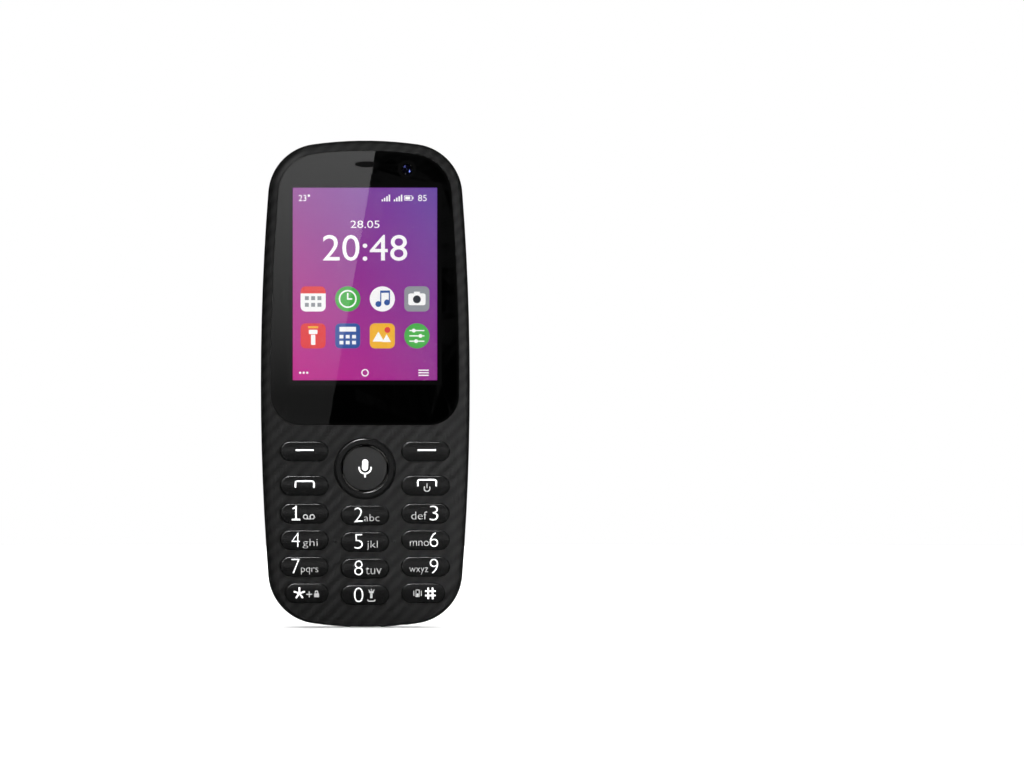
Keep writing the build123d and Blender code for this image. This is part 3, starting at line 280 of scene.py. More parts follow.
def woven_finish(tree, shader, roughness, mask_start, mask_full, lean, dark, light, plain):
    """Lays a twill of two threads over two over one side, and painted shade in the shut line
    at the seam.

    The twill has two greys: painted shade in slanting stripes, and painted sheen where the upright
    thread lies on top. Its threads are round. Inside the shell, where the faces look the other
    way, the moulding is plain.
    """
    point = add_node(tree, "SeparateXYZ", {"Vector": object_point(tree)})
    worked = {"x": point.outputs["X"], "y": point.outputs["Y"], "z": point.outputs["Z"]}
    worked["facing"] = add_node(tree, "SeparateXYZ", {
        "Vector": add_node(tree, "NewGeometry", out="Normal")}, "Y")
    worked["zone"] = ranged(tree, worked["y"], mask_start, mask_full)
    for result, operation, *terms in (
            ("across", "DIVIDE", "x", weave_pitch),
            ("up", "DIVIDE", "z", weave_pitch),
            ("column", "FLOOR", "across"),
            ("row", "FLOOR", "up"),
            ("step", "MULTIPLY_ADD", "row", -lean, "column"),
            ("place", "FLOORED_MODULO", "step", 4.0),
            ("upright on top", "LESS_THAN", "place", 2.0),
            ("apart", "SUBTRACT", "across", "up"),
            ("own way", "MULTIPLY_ADD", "upright on top", "apart", "up"),
            ("share", "FRACT", "own way"),
            ("off middle", "MULTIPLY_ADD", "share", 2.0, -1.0),
            ("drop", "MULTIPLY", "off middle", "off middle"),
            ("height", "SUBTRACT", 1.0, "drop"),
            # Slanting stripes of painted shade, and painted sheen where the upright thread lies on
            # top.
            ("slant", "MULTIPLY_ADD", "up", -lean, "across"),
            ("turn", "MULTIPLY", "slant", math.pi / 2),
            ("wave", "COSINE", "turn"),
            ("stripe", "MULTIPLY_ADD", "wave", 0.5, 0.5),
            ("painted thread sheen", "MULTIPLY", "upright on top", 0.3),
            ("shade", "MULTIPLY_ADD", "stripe", 0.7, "painted thread sheen"),
            ("outward", "MULTIPLY", "facing", math.copysign(1.0, mask_full - mask_start)),
            ("outside", "GREATER_THAN", "outward", 0.0),
            ("mask", "MULTIPLY", "zone", "outside"),
            ("raised", "MULTIPLY", "height", "mask"),
            ("behind seam", "SUBTRACT", "y", seam_y),
            ("from seam", "ABSOLUTE", "behind seam"),
            ("past groove", "MULTIPLY_ADD", "from seam", 2.5 / seam_half_width, -1.5),
            ("at most one", "MINIMUM", "past groove", 1.0),
            ("off shaded seam", "MAXIMUM", "at most one", 0.0),
            ("gloss", "MULTIPLY_ADD", "off shaded seam", roughness - 1.0, 1.0)):
        inputs = {place: worked.get(term, term) for place, term in enumerate(terms)}
        worked[result] = add_node(tree, "Math", inputs, 0, operation=operation)
    # Near black in the shut line is painted shade.
    colour = linear(light)
    for share, other in (("shade", dark), ("mask", plain), ("off shaded seam", "#020202")):
        colour = mixed(tree, worked[share], linear(other), colour)
    tree.links.new(colour, shader.inputs["Base Color"])
    tree.links.new(worked["gloss"], shader.inputs["Roughness"])
    emboss(tree, shader, worked["raised"], weave_depth)


# Moulded ABS with a woven relief: charcoal and satin. Its two greys are painted light: painted
# sheen, a little lighter where the upright thread lies on top, and painted shade in slanting
# stripes.
# Where the two shells meet, the shut line is a groove whose bevels are painted near black as
# painted shade. The weave is drawn as coarse as it must be to show.
housing_abs, tree, shader = start_material("moulded_abs_woven_face", "#161616", 0.48)
woven_finish(tree, shader, 0.48, weave_start_y, weave_full_y, 1.0, "#111111", "#1d1d1d", "#0e0e0e")
paint(housing_abs, "front_housing")


# Display window
# A 1 mm sheet of cast acrylic, glued into a recess, with black ink printed on its back except
# where the display, the front camera and the earpiece look through. From here on, print and
# other flat shapes are drawn in millimetres.
window_back_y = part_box("display_window")[1].y / mm
screen_width = 36.72
screen_height = 48.96
screen_middle_z = 87.4
ink_lift = 0.02
ink_depth = 0.01
front_camera_x, front_camera_z = 10.7, 116.6
front_camera_peephole = 1.5
cutter_depth = 30


def select_only(*pieces):
    bpy.ops.object.select_all(action="DESELECT")
    for piece in pieces:
        piece.select_set(True)
    bpy.context.view_layer.objects.active = pieces[0]


def settle(piece):
    """Puts a piece's place, turn and size into its mesh."""
    select_only(piece)
    bpy.ops.object.transform_apply(location=True, rotation=True, scale=True)
    return piece


def finish_with(piece, kind, **settings):
    """Adds a modifier with its settings and applies it."""
    select_only(piece)
    modifier = piece.modifiers.new(kind.lower(), kind)
    for name, value in settings.items():
        setattr(modifier, name, value)
    bpy.ops.object.modifier_apply(modifier=modifier.name)
    return piece


def edit(piece):
    select_only(piece)
    bpy.ops.object.mode_set(mode="EDIT")
    bpy.ops.mesh.select_all(action="SELECT")


def reshape(piece, operator, **settings):
    """Runs one of edit mode's operators on the whole of a piece."""
    edit(piece)
    operator(**settings)
    bpy.ops.object.mode_set(mode="OBJECT")
    return piece


def card_shape(x, z, width, height, y, corner=0.0):
    """A flat rectangle that faces the front, with round corners if a radius is given."""
    piece = add_piece(bpy.ops.mesh.primitive_plane_add, size=1,
                      location=(x * mm, y * mm, z * mm), rotation=upright)
    piece.scale = (width * mm, height * mm, 1)
    settle(piece)
    if corner:
        reshape(piece, bpy.ops.mesh.bevel, offset=corner * mm, segments=8, affect="VERTICES")
    return piece


def disc_shape(x, z, radius, y, sides=48):
    """A flat round shape that faces the front."""
    return settle(add_piece(
        bpy.ops.mesh.primitive_circle_add, vertices=sides, radius=radius * mm, fill_type="NGON",
        location=(x * mm, y * mm, z * mm), rotation=upright))


def cut_opening(piece, outline):
    """Cuts a flat shape's outline through a piece."""
    finish_with(outline, "SOLIDIFY", thickness=cutter_depth * mm, offset=0.0)
    finish_with(piece, "BOOLEAN", operation="DIFFERENCE", object=outline, solver="EXACT")
    bpy.data.objects.remove(outline)


def give(piece, material):
    piece.data.materials.clear()
    piece.data.materials.append(material)
    return piece


# Cast acrylic: clear, polished, with the sharpest reflections on the phone.
acrylic, tree, shader = start_material("clear_acrylic", "#ffffff", 0.0, ior=1.49)
shader.inputs["Transmission Weight"].default_value = 1.0
smudges = add_node(tree, "TexNoise", {
    "Vector": object_point(tree), "Scale": 1 / (9 * mm), "Detail": 2.0}, "Fac")
tree.links.new(ranged(tree, smudges, 0.0, 1.0, 0.0, 0.01), shader.inputs["Roughness"])
paint(acrylic, "display_window")

# The print is the window's own back face, drawn just inside the acrylic.
select_only(nodes["display_window"])
bpy.ops.object.duplicate()
ink = bpy.context.object
ink.name = "window_ink"
ink_front_y = (window_back_y - ink_lift) * mm
reshape(ink, bpy.ops.mesh.remove_doubles, threshold=0.001 * mm)
reshape(ink, bpy.ops.mesh.bisect, plane_co=(0, ink_front_y, 0), plane_no=(0, 1, 0),
        clear_inner=True, use_fill=True)
reshape(ink, bpy.ops.mesh.bisect, plane_co=(0, ink_front_y + ink_depth * mm, 0),
        plane_no=(0, 1, 0), clear_outer=True, use_fill=True)
cut_opening(ink, card_shape(0, screen_middle_z, screen_width, screen_height, 0))
cut_opening(ink, disc_shape(front_camera_x, front_camera_z, front_camera_peephole, 0))
# Screen-printed ink, black and dull. It is wetted to the acrylic, so it has hardly any gloss of
# its own under the gloss of the sheet. A faint painted glow lightens it a little.
# The glow is painted light.
black_ink, tree, shader = start_material("black_screen_print", "#151515", 0.6, glow="#0a0a0a",
                                         strength=1.0)
grain(tree, shader, 0.08 * mm, 0.002 * mm)
shader.inputs["Specular IOR Level"].default_value = 0.05
give(ink, black_ink)
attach(ink, "phone_body")

# Acrylic foam tape, 0.15 mm thick, dark grey and matt.
paint(grained("foam_tape", "#141414", 0.95, 0.1 * mm, 0.02 * mm), "window_adhesive")


# Display
# A 2.4 inch liquid-crystal panel in a pressed steel frame behind the window. Its lit picture is
# a home screen of plain digits and everyday symbols, laid on the glass in layers.
layer = 0.01
picture_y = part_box("display_module")[0].y / mm - layer
tile_y, glyph_y, detail_y = [picture_y - step * layer for step in (2, 4, 6)]
backdrop_margin = 0.4
screen_foot_z = screen_middle_z - screen_height / 2
screen_top_z = screen_middle_z + screen_height / 2
status_z = screen_top_z - 2.6
clock_z = screen_middle_z + 9.2
date_z = screen_middle_z + 15.2
soft_label_z = screen_foot_z + 1.9
icon_size = 6.4
tile_corner = 1.3
icon_columns = (-13.2, -4.4, 4.4, 13.2)
icon_rows = (screen_middle_z - 3.8, screen_middle_z - 13.2)


def coat_faces(piece, material, chosen):
    """Gives a piece a second material on the faces that a test picks by face and corners."""
    mesh = piece.data
    mesh.materials.append(material)
    for face in mesh.polygons:
        corners = [mesh.vertices[index].co for index in face.vertices]
        face.material_index = int(chosen(face, corners))


# Pressed steel round the sides and back, and a black polariser glass in front.
paint(grained("pressed_steel", "#9b9ea1", 0.32, 0.6 * mm, 0.004 * mm, metallic=1.0),
      "display_module")
coat_faces(nodes["display_module"],
           grained("dark_polariser", "#060607", 0.12, 3 * mm, 0.001 * mm),
           lambda face, corners: face.normal.y < -0.9)

# Polyimide flex: amber film with copper showing through.
flex_film, tree, shader = start_material("polyimide_film", "#a35a1c", 0.3)
tracks = add_node(tree, "TexWave", {
    "Vector": object_point(tree), "Scale": 1 / (1.2 * mm)}, "Fac", bands_direction="X")
two_colours(tree, shader, tracks, "#8a4712", "#c77a2e")
paint(flex_film, "display_flex")

# Liquid-crystal polymer, the usual connector plastic: black and slightly glossy.
connector_plastic = grained("connector_polymer", "#111111", 0.38, 0.3 * mm, 0.004 * mm)
paint(connector_plastic, "display_connector")


def hollow(piece, width):
    """Leaves only a band of that width along a flat shape's edge."""
    edit(piece)
    bpy.ops.mesh.inset(thickness=width * mm)
    bpy.ops.mesh.delete(type="FACE")
    bpy.ops.object.mode_set(mode="OBJECT")
    return piece


def trim(piece, z, way):
    """Cuts a flat shape at a height and keeps what is above it for way 1, or below it for -1."""
    return reshape(piece, bpy.ops.mesh.bisect, plane_co=(0, 0, z * mm), plane_no=(0, 0, way),
                   clear_inner=True)


def thicken(piece, thickness):
    return finish_with(piece, "SOLIDIFY", thickness=thickness * mm, offset=1.0)


def join(name, pieces, material):
    """Joins pieces of one material into one mesh."""
    select_only(*pieces)
    if len(pieces) > 1:
        bpy.ops.object.join()
    piece = bpy.context.object
    piece.name = name
    return give(piece, material)


def lettering(text, x, z, width, height, y, thinning=0.0):
    """Text that faces the front, fitted to a width and height about x, z."""
    words = add_piece(bpy.ops.object.text_add, location=(0, 0, 0))
    words.data.body = text
    words.data.resolution_u = 4
    words.data.offset = thinning
    bpy.ops.object.convert(target="MESH")
    words = bpy.context.object
    xs = [vertex.co.x for vertex in words.data.vertices]
    ups = [vertex.co.y for vertex in words.data.vertices]
    share_x = width * mm / (max(xs) - min(xs))
    share_z = height * mm / (max(ups) - min(ups))
    words.scale = (share_x, share_z, 1)
    words.rotation_euler = upright
    words.location = (x * mm - share_x * (max(xs) + min(xs)) / 2, y * mm,
                      z * mm - share_z * (max(ups) + min(ups)) / 2)
    return settle(words)


# The backlit picture: magenta at the lower left turning to violet at the upper right.
backdrop = card_shape(0, screen_middle_z, screen_width + 2 * backdrop_margin,
                      screen_height + 2 * backdrop_margin, picture_y)
glow, tree, shader = start_material("backlit_picture", "#000000", 0.5, strength=1.0)
point = add_node(tree, "SeparateXYZ", {"Vector": object_point(tree)})
across = ranged(tree, point.outputs["X"], -screen_width / 2 * mm, screen_width / 2 * mm, 0.0, 0.45)
upward = ranged(tree, point.outputs["Z"], screen_foot_z * mm, screen_top_z * mm, 0.0, 0.55)
along = add_node(tree, "Math", {0: across, 1: upward}, 0, operation="ADD")
sweep = add_node(tree, "ValToRGB", {"Fac": along})
sweep.color_ramp.elements[0].color = linear("#c2188a")
sweep.color_ramp.elements[1].color = linear("#6747a2")
sweep.color_ramp.elements.new(0.5).color = linear("#90288f")
tree.links.new(sweep.outputs["Color"], shader.inputs["Emission Color"])
thicken(join("screen_backdrop", [backdrop], glow), layer / 2)
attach(backdrop, "phone_body")

# Status row: two sets of signal bars and a battery at the right, a small number at the left.
# Below it stand the date and the time.
status = [card_shape(start_x + 0.6 * index, status_z - 0.85 + height / 2, 0.38, height, tile_y)
          for start_x in (4.4, 7.5) for index, height in enumerate((0.5, 0.9, 1.3, 1.7))]
status += [hollow(card_shape(11.0, status_z, 2.1, 1.3, tile_y, 0.2), 0.15),
           card_shape(10.85, status_z, 1.2, 0.75, tile_y),
           card_shape(12.2, status_z, 0.25, 0.6, tile_y),
           lettering("85", 14.6, status_z, 2.2, 1.6, tile_y),
           lettering("23", -15.9, status_z, 2.0, 1.6, tile_y),
           disc_shape(-14.3, status_z + 0.6, 0.32, tile_y, 20),
           lettering("20:48", 0, clock_z, 21.5, 6.6, tile_y),
           lettering("28.05", 0, date_z, 7.4, 1.9, tile_y)]
picture_white = start_material("picture_white", "#000000", 0.5, strength=1.0)[0]
digits = thicken(join("screen_digits", status, picture_white), layer / 2)
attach(digits, "phone_body")

# Icons: eight everyday tools as round-cornered tiles and discs, four to a row.
picture_colours = {"white": "#fbfbfb", "red": "#e23436", "blue": "#33589f", "green": "#46b148",
                   "yellow": "#f2b632", "dark": "#2b2f36", "grey": "#8f9399"}
tiles = {colour: [] for colour in picture_colours}
marks = {colour: [] for colour in picture_colours}


def tile(colour, column, row, round_tile=False):
    x, z = icon_columns[column], icon_rows[row]
    if round_tile:
        tiles[colour].append(disc_shape(x, z, icon_size / 2, tile_y))
    else:
        tiles[colour].append(card_shape(x, z, icon_size, icon_size, tile_y, tile_corner))
    return x, z


# Calendar
x, z = tile("white", 0, 0)
band = card_shape(x, z, icon_size, icon_size, glyph_y, tile_corner)
marks["red"].append(trim(band, z + 1.4, 1))
marks["grey"] += [card_shape(x + 1.6 * column, z + 0.2 - 1.7 * row, 1.0, 1.0, glyph_y)
                  for column in (-1, 0, 1) for row in (0, 1)]
# Clock
x, z = tile("green", 1, 0, True)
marks["white"] += [hollow(disc_shape(x, z, 2.3, glyph_y), 0.4),
                   card_shape(x, z + 0.7, 0.4, 1.6, glyph_y),
                   card_shape(x + 0.5, z, 1.3, 0.4, glyph_y)]
# Music note
x, z = tile("white", 2, 0, True)
marks["blue"] += [disc_shape(x - 1.0, z - 1.3, 0.75, glyph_y, 24),
                  disc_shape(x + 1.2, z - 0.9, 0.75, glyph_y, 24),
                  card_shape(x - 0.4, z + 0.2, 0.3, 3.0, glyph_y),
                  card_shape(x + 1.8, z + 0.6, 0.3, 3.0, glyph_y),
                  card_shape(x + 0.7, z + 1.85, 2.5, 0.6, glyph_y)]
# Camera
x, z = tile("grey", 3, 0)
marks["white"] += [card_shape(x, z - 0.1, 4.4, 3.0, glyph_y, 0.5),
                   card_shape(x, z + 1.55, 1.5, 0.6, glyph_y)]
marks["dark"].append(disc_shape(x, z - 0.1, 1.0, detail_y, 32))
# Lamp
x, z = tile("red", 0, 1)
marks["white"] += [card_shape(x, z - 1.0, 1.1, 2.6, glyph_y, 0.2),
                   card_shape(x, z + 1.0, 2.2, 1.1, glyph_y, 0.2)]
marks["yellow"].append(card_shape(x, z + 2.2, 2.6, 0.5, glyph_y))
# Calculator
x, z = tile("blue", 1, 1)
marks["white"].append(card_shape(x, z + 1.7, 4.2, 1.2, glyph_y))
marks["white"] += [card_shape(x + 1.6 * column, z - 0.2 - 1.5 * row, 1.0, 0.9, glyph_y)
                   for column in (-1, 0, 1) for row in (0, 1)]
# Picture of hills under a sun
x, z = tile("yellow", 2, 1)
marks["white"] += [disc_shape(x + offset, z - 1.9 + size / 2, 0.66 * size, glyph_y, 3)
                   for offset, size in ((-1.0, 2.6), (1.1, 2.0))]
marks["red"].append(disc_shape(x + 1.3, z + 1.5, 0.75, glyph_y, 28))
# Sliders for the settings
x, z = tile("green", 3, 1, True)
for row, knob in ((1, -0.8), (0, 0.9), (-1, -0.2)):
    marks["white"] += [card_shape(x, z + 1.35 * row, 3.8, 0.3, glyph_y),
                       disc_shape(x + knob, z + 1.35 * row, 0.5, detail_y, 20)]
# Soft-key marks along the foot
marks["white"].append(hollow(disc_shape(0, soft_label_z, 0.95, tile_y, 32), 0.3))
for row in (-1, 0, 1):
    marks["white"] += [card_shape(14.9, soft_label_z + 0.65 * row, 2.6, 0.3, tile_y),
                       disc_shape(-15.6 + 0.9 * row, soft_label_z, 0.3, tile_y, 16)]

for family, family_name in ((tiles, "screen_tiles"), (marks, "screen_marks")):
    for colour, shapes in family.items():
        if shapes:
            name = f"{family_name}_{colour}"
            lit_patch = start_material(name, "#000000", 0.5, glow=picture_colours[colour],
                                       strength=1.0)[0]
            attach(thicken(join(name, shapes, lit_patch), layer / 2), "phone_body")


# Earpiece
# A slot through the window has a woven steel mesh glued behind it. Below it sits the receiver
# capsule, a moulded black case.
mesh_pitch = 0.3 * mm

# Blackened steel gauze: fine square weave, dull.
gauze, tree, shader = start_material("blackened_steel_gauze", "#0c0c0c", 0.5, metallic=0.6)
holes = add_node(tree, "TexVoronoi", {
    "Vector": object_point(tree), "Scale": 1 / mesh_pitch, "Randomness": 0.0},
    "Distance", distance="CHEBYCHEV")
emboss(tree, shader, holes, 0.06 * mm, invert=True)
paint(gauze, "earpiece_mesh", "speaker_mesh")

# Moulded case: black polymer, dull, with a fine even grain.
case_plastic = grained("moulded_black_case", "#121212", 0.45, 0.25 * mm, 0.006 * mm)
paint(case_plastic, "earpiece_receiver")


# Front camera
# A small module behind the window: a black barrel with a domed lens. Its coating tints its
# reflections blue, and a blue and violet glint is painted into its colour where it curves away.
lens_radius, lens_rise = 1.25, 0.35
lens_seat_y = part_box("front_camera")[0].y / mm + 0.3
paint(case_plastic, "front_camera")

# Coated lens glass: nearly black, with a painted blue to violet glint where it curves away.
lens_glass, tree, shader = start_material("coated_lens_glass", "#05060c", 0.03, ior=1.8)
edge = add_node(tree, "LayerWeight", {"Blend": 0.35}, "Facing")
# Painted glint: the colour turns blue and violet where the surface curves away.
painted_glint_ramp = add_node(tree, "ValToRGB", {"Fac": edge})
painted_glint_ramp.color_ramp.elements[0].color = linear("#04050a")
painted_glint_ramp.color_ramp.elements[1].color = linear("#1c2a66")
painted_glint_ramp.color_ramp.elements.new(0.3).color = linear("#2a1a5c")
tree.links.new(painted_glint_ramp.outputs["Color"], shader.inputs["Base Color"])
shader.inputs["Specular Tint"].default_value = linear("#7f8cff")


def lens_dome(name, x, z, radius, rise, seat_y, side):
    """A shallow glass dome, cut from a ball, that rises from its seat to the -1 or 1 side."""
    ball_radius = (radius ** 2 + rise ** 2) / (2 * rise)
    centre_y = seat_y + side * (rise - ball_radius)
    dome = add_piece(bpy.ops.mesh.primitive_uv_sphere_add, segments=48, ring_count=96,
                     radius=ball_radius * mm, location=(x * mm, centre_y * mm, z * mm),
                     rotation=upright)
    dome.name = name
    reshape(settle(dome), bpy.ops.mesh.bisect, plane_co=(x * mm, seat_y * mm, z * mm),
            plane_no=(0, -side, 0), clear_outer=True, use_fill=True)
    reshape(dome, bpy.ops.mesh.normals_make_consistent, inside=False)
    bpy.ops.object.shade_smooth_by_angle(angle=math.radians(35))
    return give(dome, lens_glass)


front_lens = lens_dome("front_camera_lens", front_camera_x, front_camera_z, lens_radius,
                       lens_rise, lens_seat_y, -1)
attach(front_lens, "phone_body")


# Keys
# Seventeen separate polycarbonate caps stand in the shell's openings, crowned along their
# length. Their legends are printed in white paint, and the letters in a thinner coat.
legend_gap = 0.015
legend_paint = 0.02
legend_step = 0.5 * mm
legend_y = -9
number_thinning = -0.02
letter_thinning = -0.013
number_height = 3.7
number_width = 2.15
letter_foot = 1.45
stroke = 0.38
thin_stroke = 0.24

# Satin polycarbonate: near black, spark-eroded to a fine even grain, with soft highlights.
paint(grained("satin_polycarbonate", "#0e0e0e", 0.24, 0.12 * mm, 0.0035 * mm, ior=1.58),
      *key_names)
# The OK key's crown has a coarser grain and is painted paler as painted light. Its skirt, down
# in the ring, is painted near black as painted shade.
crown_end_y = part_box("ok_key")[0].y + 0.35 * mm
paint(grained("matt_polycarbonate_painted_light", "#1a1a1a", 0.45, 0.18 * mm, 0.006 * mm, ior=1.58), "ok_key")
# Painted shade on the skirt down in the ring.
coat_faces(nodes["ok_key"], grained("dull_polycarbonate_painted_shade", "#060606", 0.7, 0.18 * mm,
                                    0.004 * mm, ior=1.58),
           lambda face, corners: face.center.y > crown_end_y)

# Key paint: a thick white for numbers and a thinner one for letters, through which the black
# shows a little.
number_paint = grained("white_key_paint", "#f4f4f4", 0.5, 0.08 * mm, 0.002 * mm,
                       glow="#f4f4f4", strength=0.35)
letter_paint = grained("thin_white_key_paint", "#9e9e9e", 0.5, 0.08 * mm, 0.002 * mm,
                       glow="#9e9e9e", strength=0.35)


def middle_z(key):
    low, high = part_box(key)
    return (low.z + high.z) / 2 / mm


def bar(x, z, width, height, corner=0.0):
    """A flat bar in front of the keys, to be printed on one of them."""
    return card_shape(x, z, width, height, legend_y, corner)


def lean_over(piece, x, z, degrees):
    """Turns a flat shape about a point of the face."""
    return reshape(piece, bpy.ops.transform.rotate, value=math.radians(degrees),
                   orient_axis="Y", center_override=(x * mm, legend_y * mm, z * mm))


def print_on(key, mark, shapes, coat):
    """Joins flat shapes, presses them onto a key's crown and gives them the paint's thickness."""
    legend = join(f"{key}_{mark}", shapes, coat)
    heights = [vertex.co.z for vertex in legend.data.vertices]
    cuts = int((max(heights) - min(heights)) / legend_step)
    for index in range(1, cuts + 1):
        cut = (0, 0, min(heights) + index * legend_step)
        reshape(legend, bpy.ops.mesh.bisect, plane_co=cut, plane_no=(0, 0, 1))
    finish_with(legend, "SHRINKWRAP", target=nodes[key], wrap_method="PROJECT",
                use_project_y=True, use_positive_direction=True, wrap_mode="ABOVE_SURFACE",
                offset=legend_gap * mm)
    thicken(legend, legend_paint)
    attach(legend, key)


# Numbers: the outer columns' numbers stand at the outer ends. Each row of letters gives its
# middle, its width and height, and how far it reaches below the line.
number_columns = (-17.6, -1.6, 17.55)
letters = {2: ("abc", 1.75, 3.9, 1.75, 0), 3: ("def", 13.8, 4.0, 1.95, 0),
           4: ("ghi", -13.9, 3.8, 2.4, 0.6), 5: ("jkl", 1.9, 2.7, 2.4, 0.6),
           6: ("mno", 13.85, 4.8, 1.3, 0), 7: ("pqrs", -14.05, 4.4, 1.75, 0.5),
           8: ("tuv", 2.2, 4.0, 1.75, 0), 9: ("wxyz", 13.7, 4.8, 1.75, 0.5)}
for digit in range(1, 10):
    key = f"key_{digit}"
    x, z = number_columns[(digit - 1) % 3], middle_z(key) + 0.15
    if digit == 1:
        # This one has a flag and a foot, which the plain font's doesn't.
        flag = lean_over(bar(x - 0.45, z + 1.45, 1.0, 0.36), x - 0.1, z + 1.6, 28)
        number = [bar(x + 0.1, z, stroke, number_height),
                  bar(x + 0.1, z - (number_height - 0.4) / 2, number_width, 0.4), flag]
    else:
        number = [lettering(str(digit), x, z, number_width, number_height, legend_y,
                            number_thinning)]
    print_on(key, "number", number, number_paint)
    if digit in letters:
        text, x, width, height, drop = letters[digit]
        z = middle_z(key) - letter_foot - drop + height / 2
        word = lettering(text, x, z, width, height, legend_y, letter_thinning)
        print_on(key, "letters", [word], letter_paint)

# Voicemail: two reels on a line.
x, z = -14.25, middle_z("key_1") - 0.8
reels = [hollow(disc_shape(x + 0.85 * side, z, 0.65, legend_y, 32), thin_stroke)
         for side in (-1, 1)]
print_on("key_1", "voicemail", reels + [bar(x, z - 0.53, 2.2, thin_stroke)], letter_paint)

# Soft keys: a dash each.
for key, x in (("left_soft_key", -15.3), ("right_soft_key", 15.75)):
    print_on(key, "dash", [bar(x, middle_z(key) + 0.35, 4.6, stroke)], number_paint)

# Call and end keys: a handset's arch, with a power sign under the one on the end key.
for key, x, top in (("call_key", -15.3, 1.35), ("end_key", 15.8, 1.7)):
    z = middle_z(key) + top
    arch = hollow(bar(x, z - 1.8, 5.05, 3.6, 0.7), stroke)
    print_on(key, "arch", [trim(arch, z - 1.85, 1)], number_paint)
x, z = 15.8, middle_z("end_key") - 0.65
power_ring = hollow(disc_shape(x, z, 0.88, legend_y, 40), thin_stroke)
print_on("end_key", "power", [trim(power_ring, z + 0.45, -1),
                              bar(x, z + 0.65, thin_stroke, 1.15)], letter_paint)

# OK key: a microphone, as a rounded capsule in a cradle on a short stem.
x, z = 0.05, middle_z("ok_key")
cradle = hollow(bar(x, z + 0.6, 3.4, 4.1, 1.68), 0.36)
print_on("ok_key", "microphone", [bar(x, z + 0.9, 1.5, 2.9, 0.74), trim(cradle, z + 0.45, -1),
                                  bar(x, z - 1.85, 0.4, 0.8)], number_paint)

# Star key: a five-armed star, a plus and a padlock.
x, z = -16.65, middle_z("key_star")
arms = [lean_over(bar(x, z + 0.75, 0.42, 1.5), x, z, 72 * index) for index in range(5)]
print_on("key_star", "star", arms + [disc_shape(x, z, 0.3, legend_y, 20)], number_paint)
plus = [bar(-14.15, z - 0.25, 1.5, 0.26), bar(-14.15, z + 0.19, 0.26, 0.62),
        bar(-14.15, z - 0.69, 0.26, 0.62)]
shackle = trim(hollow(bar(-12.3, z + 0.1, 0.85, 1.2, 0.4), 0.2), z + 0.02, 1)
lock = bar(-12.3, z - 0.5, 1.25, 1.0, 0.15)
print_on("key_star", "marks", plus + [shackle, lock], letter_paint)

# Zero key: the number, and a small standing torch with three rays.
z = middle_z("key_0")
zero = lettering("0", -1.6, z + 0.05, 2.35, number_height, legend_y, number_thinning)
print_on("key_0", "number", [zero], number_paint)
x = 1.65
torch = [bar(x, z + 0.75, 1.2, 0.45, 0.1), bar(x, z - 0.15, 0.6, 1.25)]
torch += [lean_over(bar(x, z + 1.35, 0.2, 0.5), x, z + 0.5, degrees) for degrees in (0, -40, 40)]
tray = hollow(bar(x, z - 0.9, 2.1, 1.5, 0.5), thin_stroke)
print_on("key_0", "torch", torch + [trim(tray, z - 1.1, -1)], letter_paint)

# Hash key: the hash, and a shaking phone for the silent mode.
z = middle_z("key_hash")
hash_bars = [bar(16.65, z + 0.55 * side, 2.7, 0.4) for side in (-1, 1)]
hash_bars += [bar(16.65 + 0.55 * side, z + up, 0.4, 0.7) for side in (-1, 1)
              for up in (1.1, 0, -1.1)]
print_on("key_hash", "hash", hash_bars, number_paint)
shaking = [hollow(bar(13.4, z, 1.0, 1.9, 0.15), 0.18), bar(13.4, z - 0.4, 0.5, 0.7)]
shaking += [bar(13.4 + 0.95 * side, z, 0.2, 1.3) for side in (-1, 1)]
print_on("key_hash", "silent", shaking, letter_paint)


# Navigation ring
# A polished ring round the OK key, pressed at four sides. It rocks on a silicone pad, which
# hides in the gap below it.

# High-gloss polycarbonate: jet black, polished tool, with small sharp highlights on its rim.
paint(grained("polished_polycarbonate", "#0a0a0a", 0.2, 4 * mm, 0.002 * mm, ior=1.58),
      "nav_ring")
# Silicone rubber: dull, slightly greasy black, with talc-like softness at its edges.
pad_rubber, tree, shader = start_material("black_silicone", "#161616", 0.62, ior=1.43)
grain(tree, shader, 0.2 * mm, 0.008 * mm)
shader.inputs["Sheen Weight"].default_value = 0.15
paint(pad_rubber, "nav_ring_pad", "keypad_mat")


# Dome sheet
# A clear polyester sheet under the mat carries one snapped steel dome under every key. White
# LEDs for the keys sit between the rows.
dome_film_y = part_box("dome_sheet")[1].y - 0.12 * mm
# Polyester film: milky and slightly glossy. The domes are bright sprung stainless steel.
paint(grained("polyester_film", "#d9d7cc", 0.28, 1.5 * mm, 0.004 * mm, ior=1.6), "dome_sheet")
coat_faces(nodes["dome_sheet"],
           grained("sprung_stainless_steel", "#b7b6b2", 0.22, 0.15 * mm, 0.001 * mm, metallic=1.0),
           lambda face, corners: min(corner.y for corner in corners) < dome_film_y)

# White LEDs: ceramic packages filled with yellow phosphor.
led_case = grained("white_led_ceramic", "#e9e6dc", 0.5, 0.1 * mm, 0.003 * mm)
led_fill = grained("yellow_phosphor", "#d8c24a", 0.35, 0.08 * mm, 0.004 * mm)
paint(led_case, "keypad_leds")
coat_faces(nodes["keypad_leds"], led_fill, lambda face, corners: face.normal.y < -0.9)


# Main board
# A 0.8 mm four-layer board behind the keys and display, with shield cans, two SIM sockets, a
# memory card socket and rows of small capacitors soldered to its back.
board_back_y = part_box("main_board")[1].y
track_pitch = 0.9 * mm
capacitor_length = 1.0 * mm
capacitor_width = 0.5 * mm
capacitor_height = 0.5 * mm
capacitor_cap_x = capacitor_length / 2 - 0.25 * mm
capacitor_pitch = 3.9 * mm
capacitor_rows = (40 * mm, 43 * mm, 46 * mm, 49 * mm)

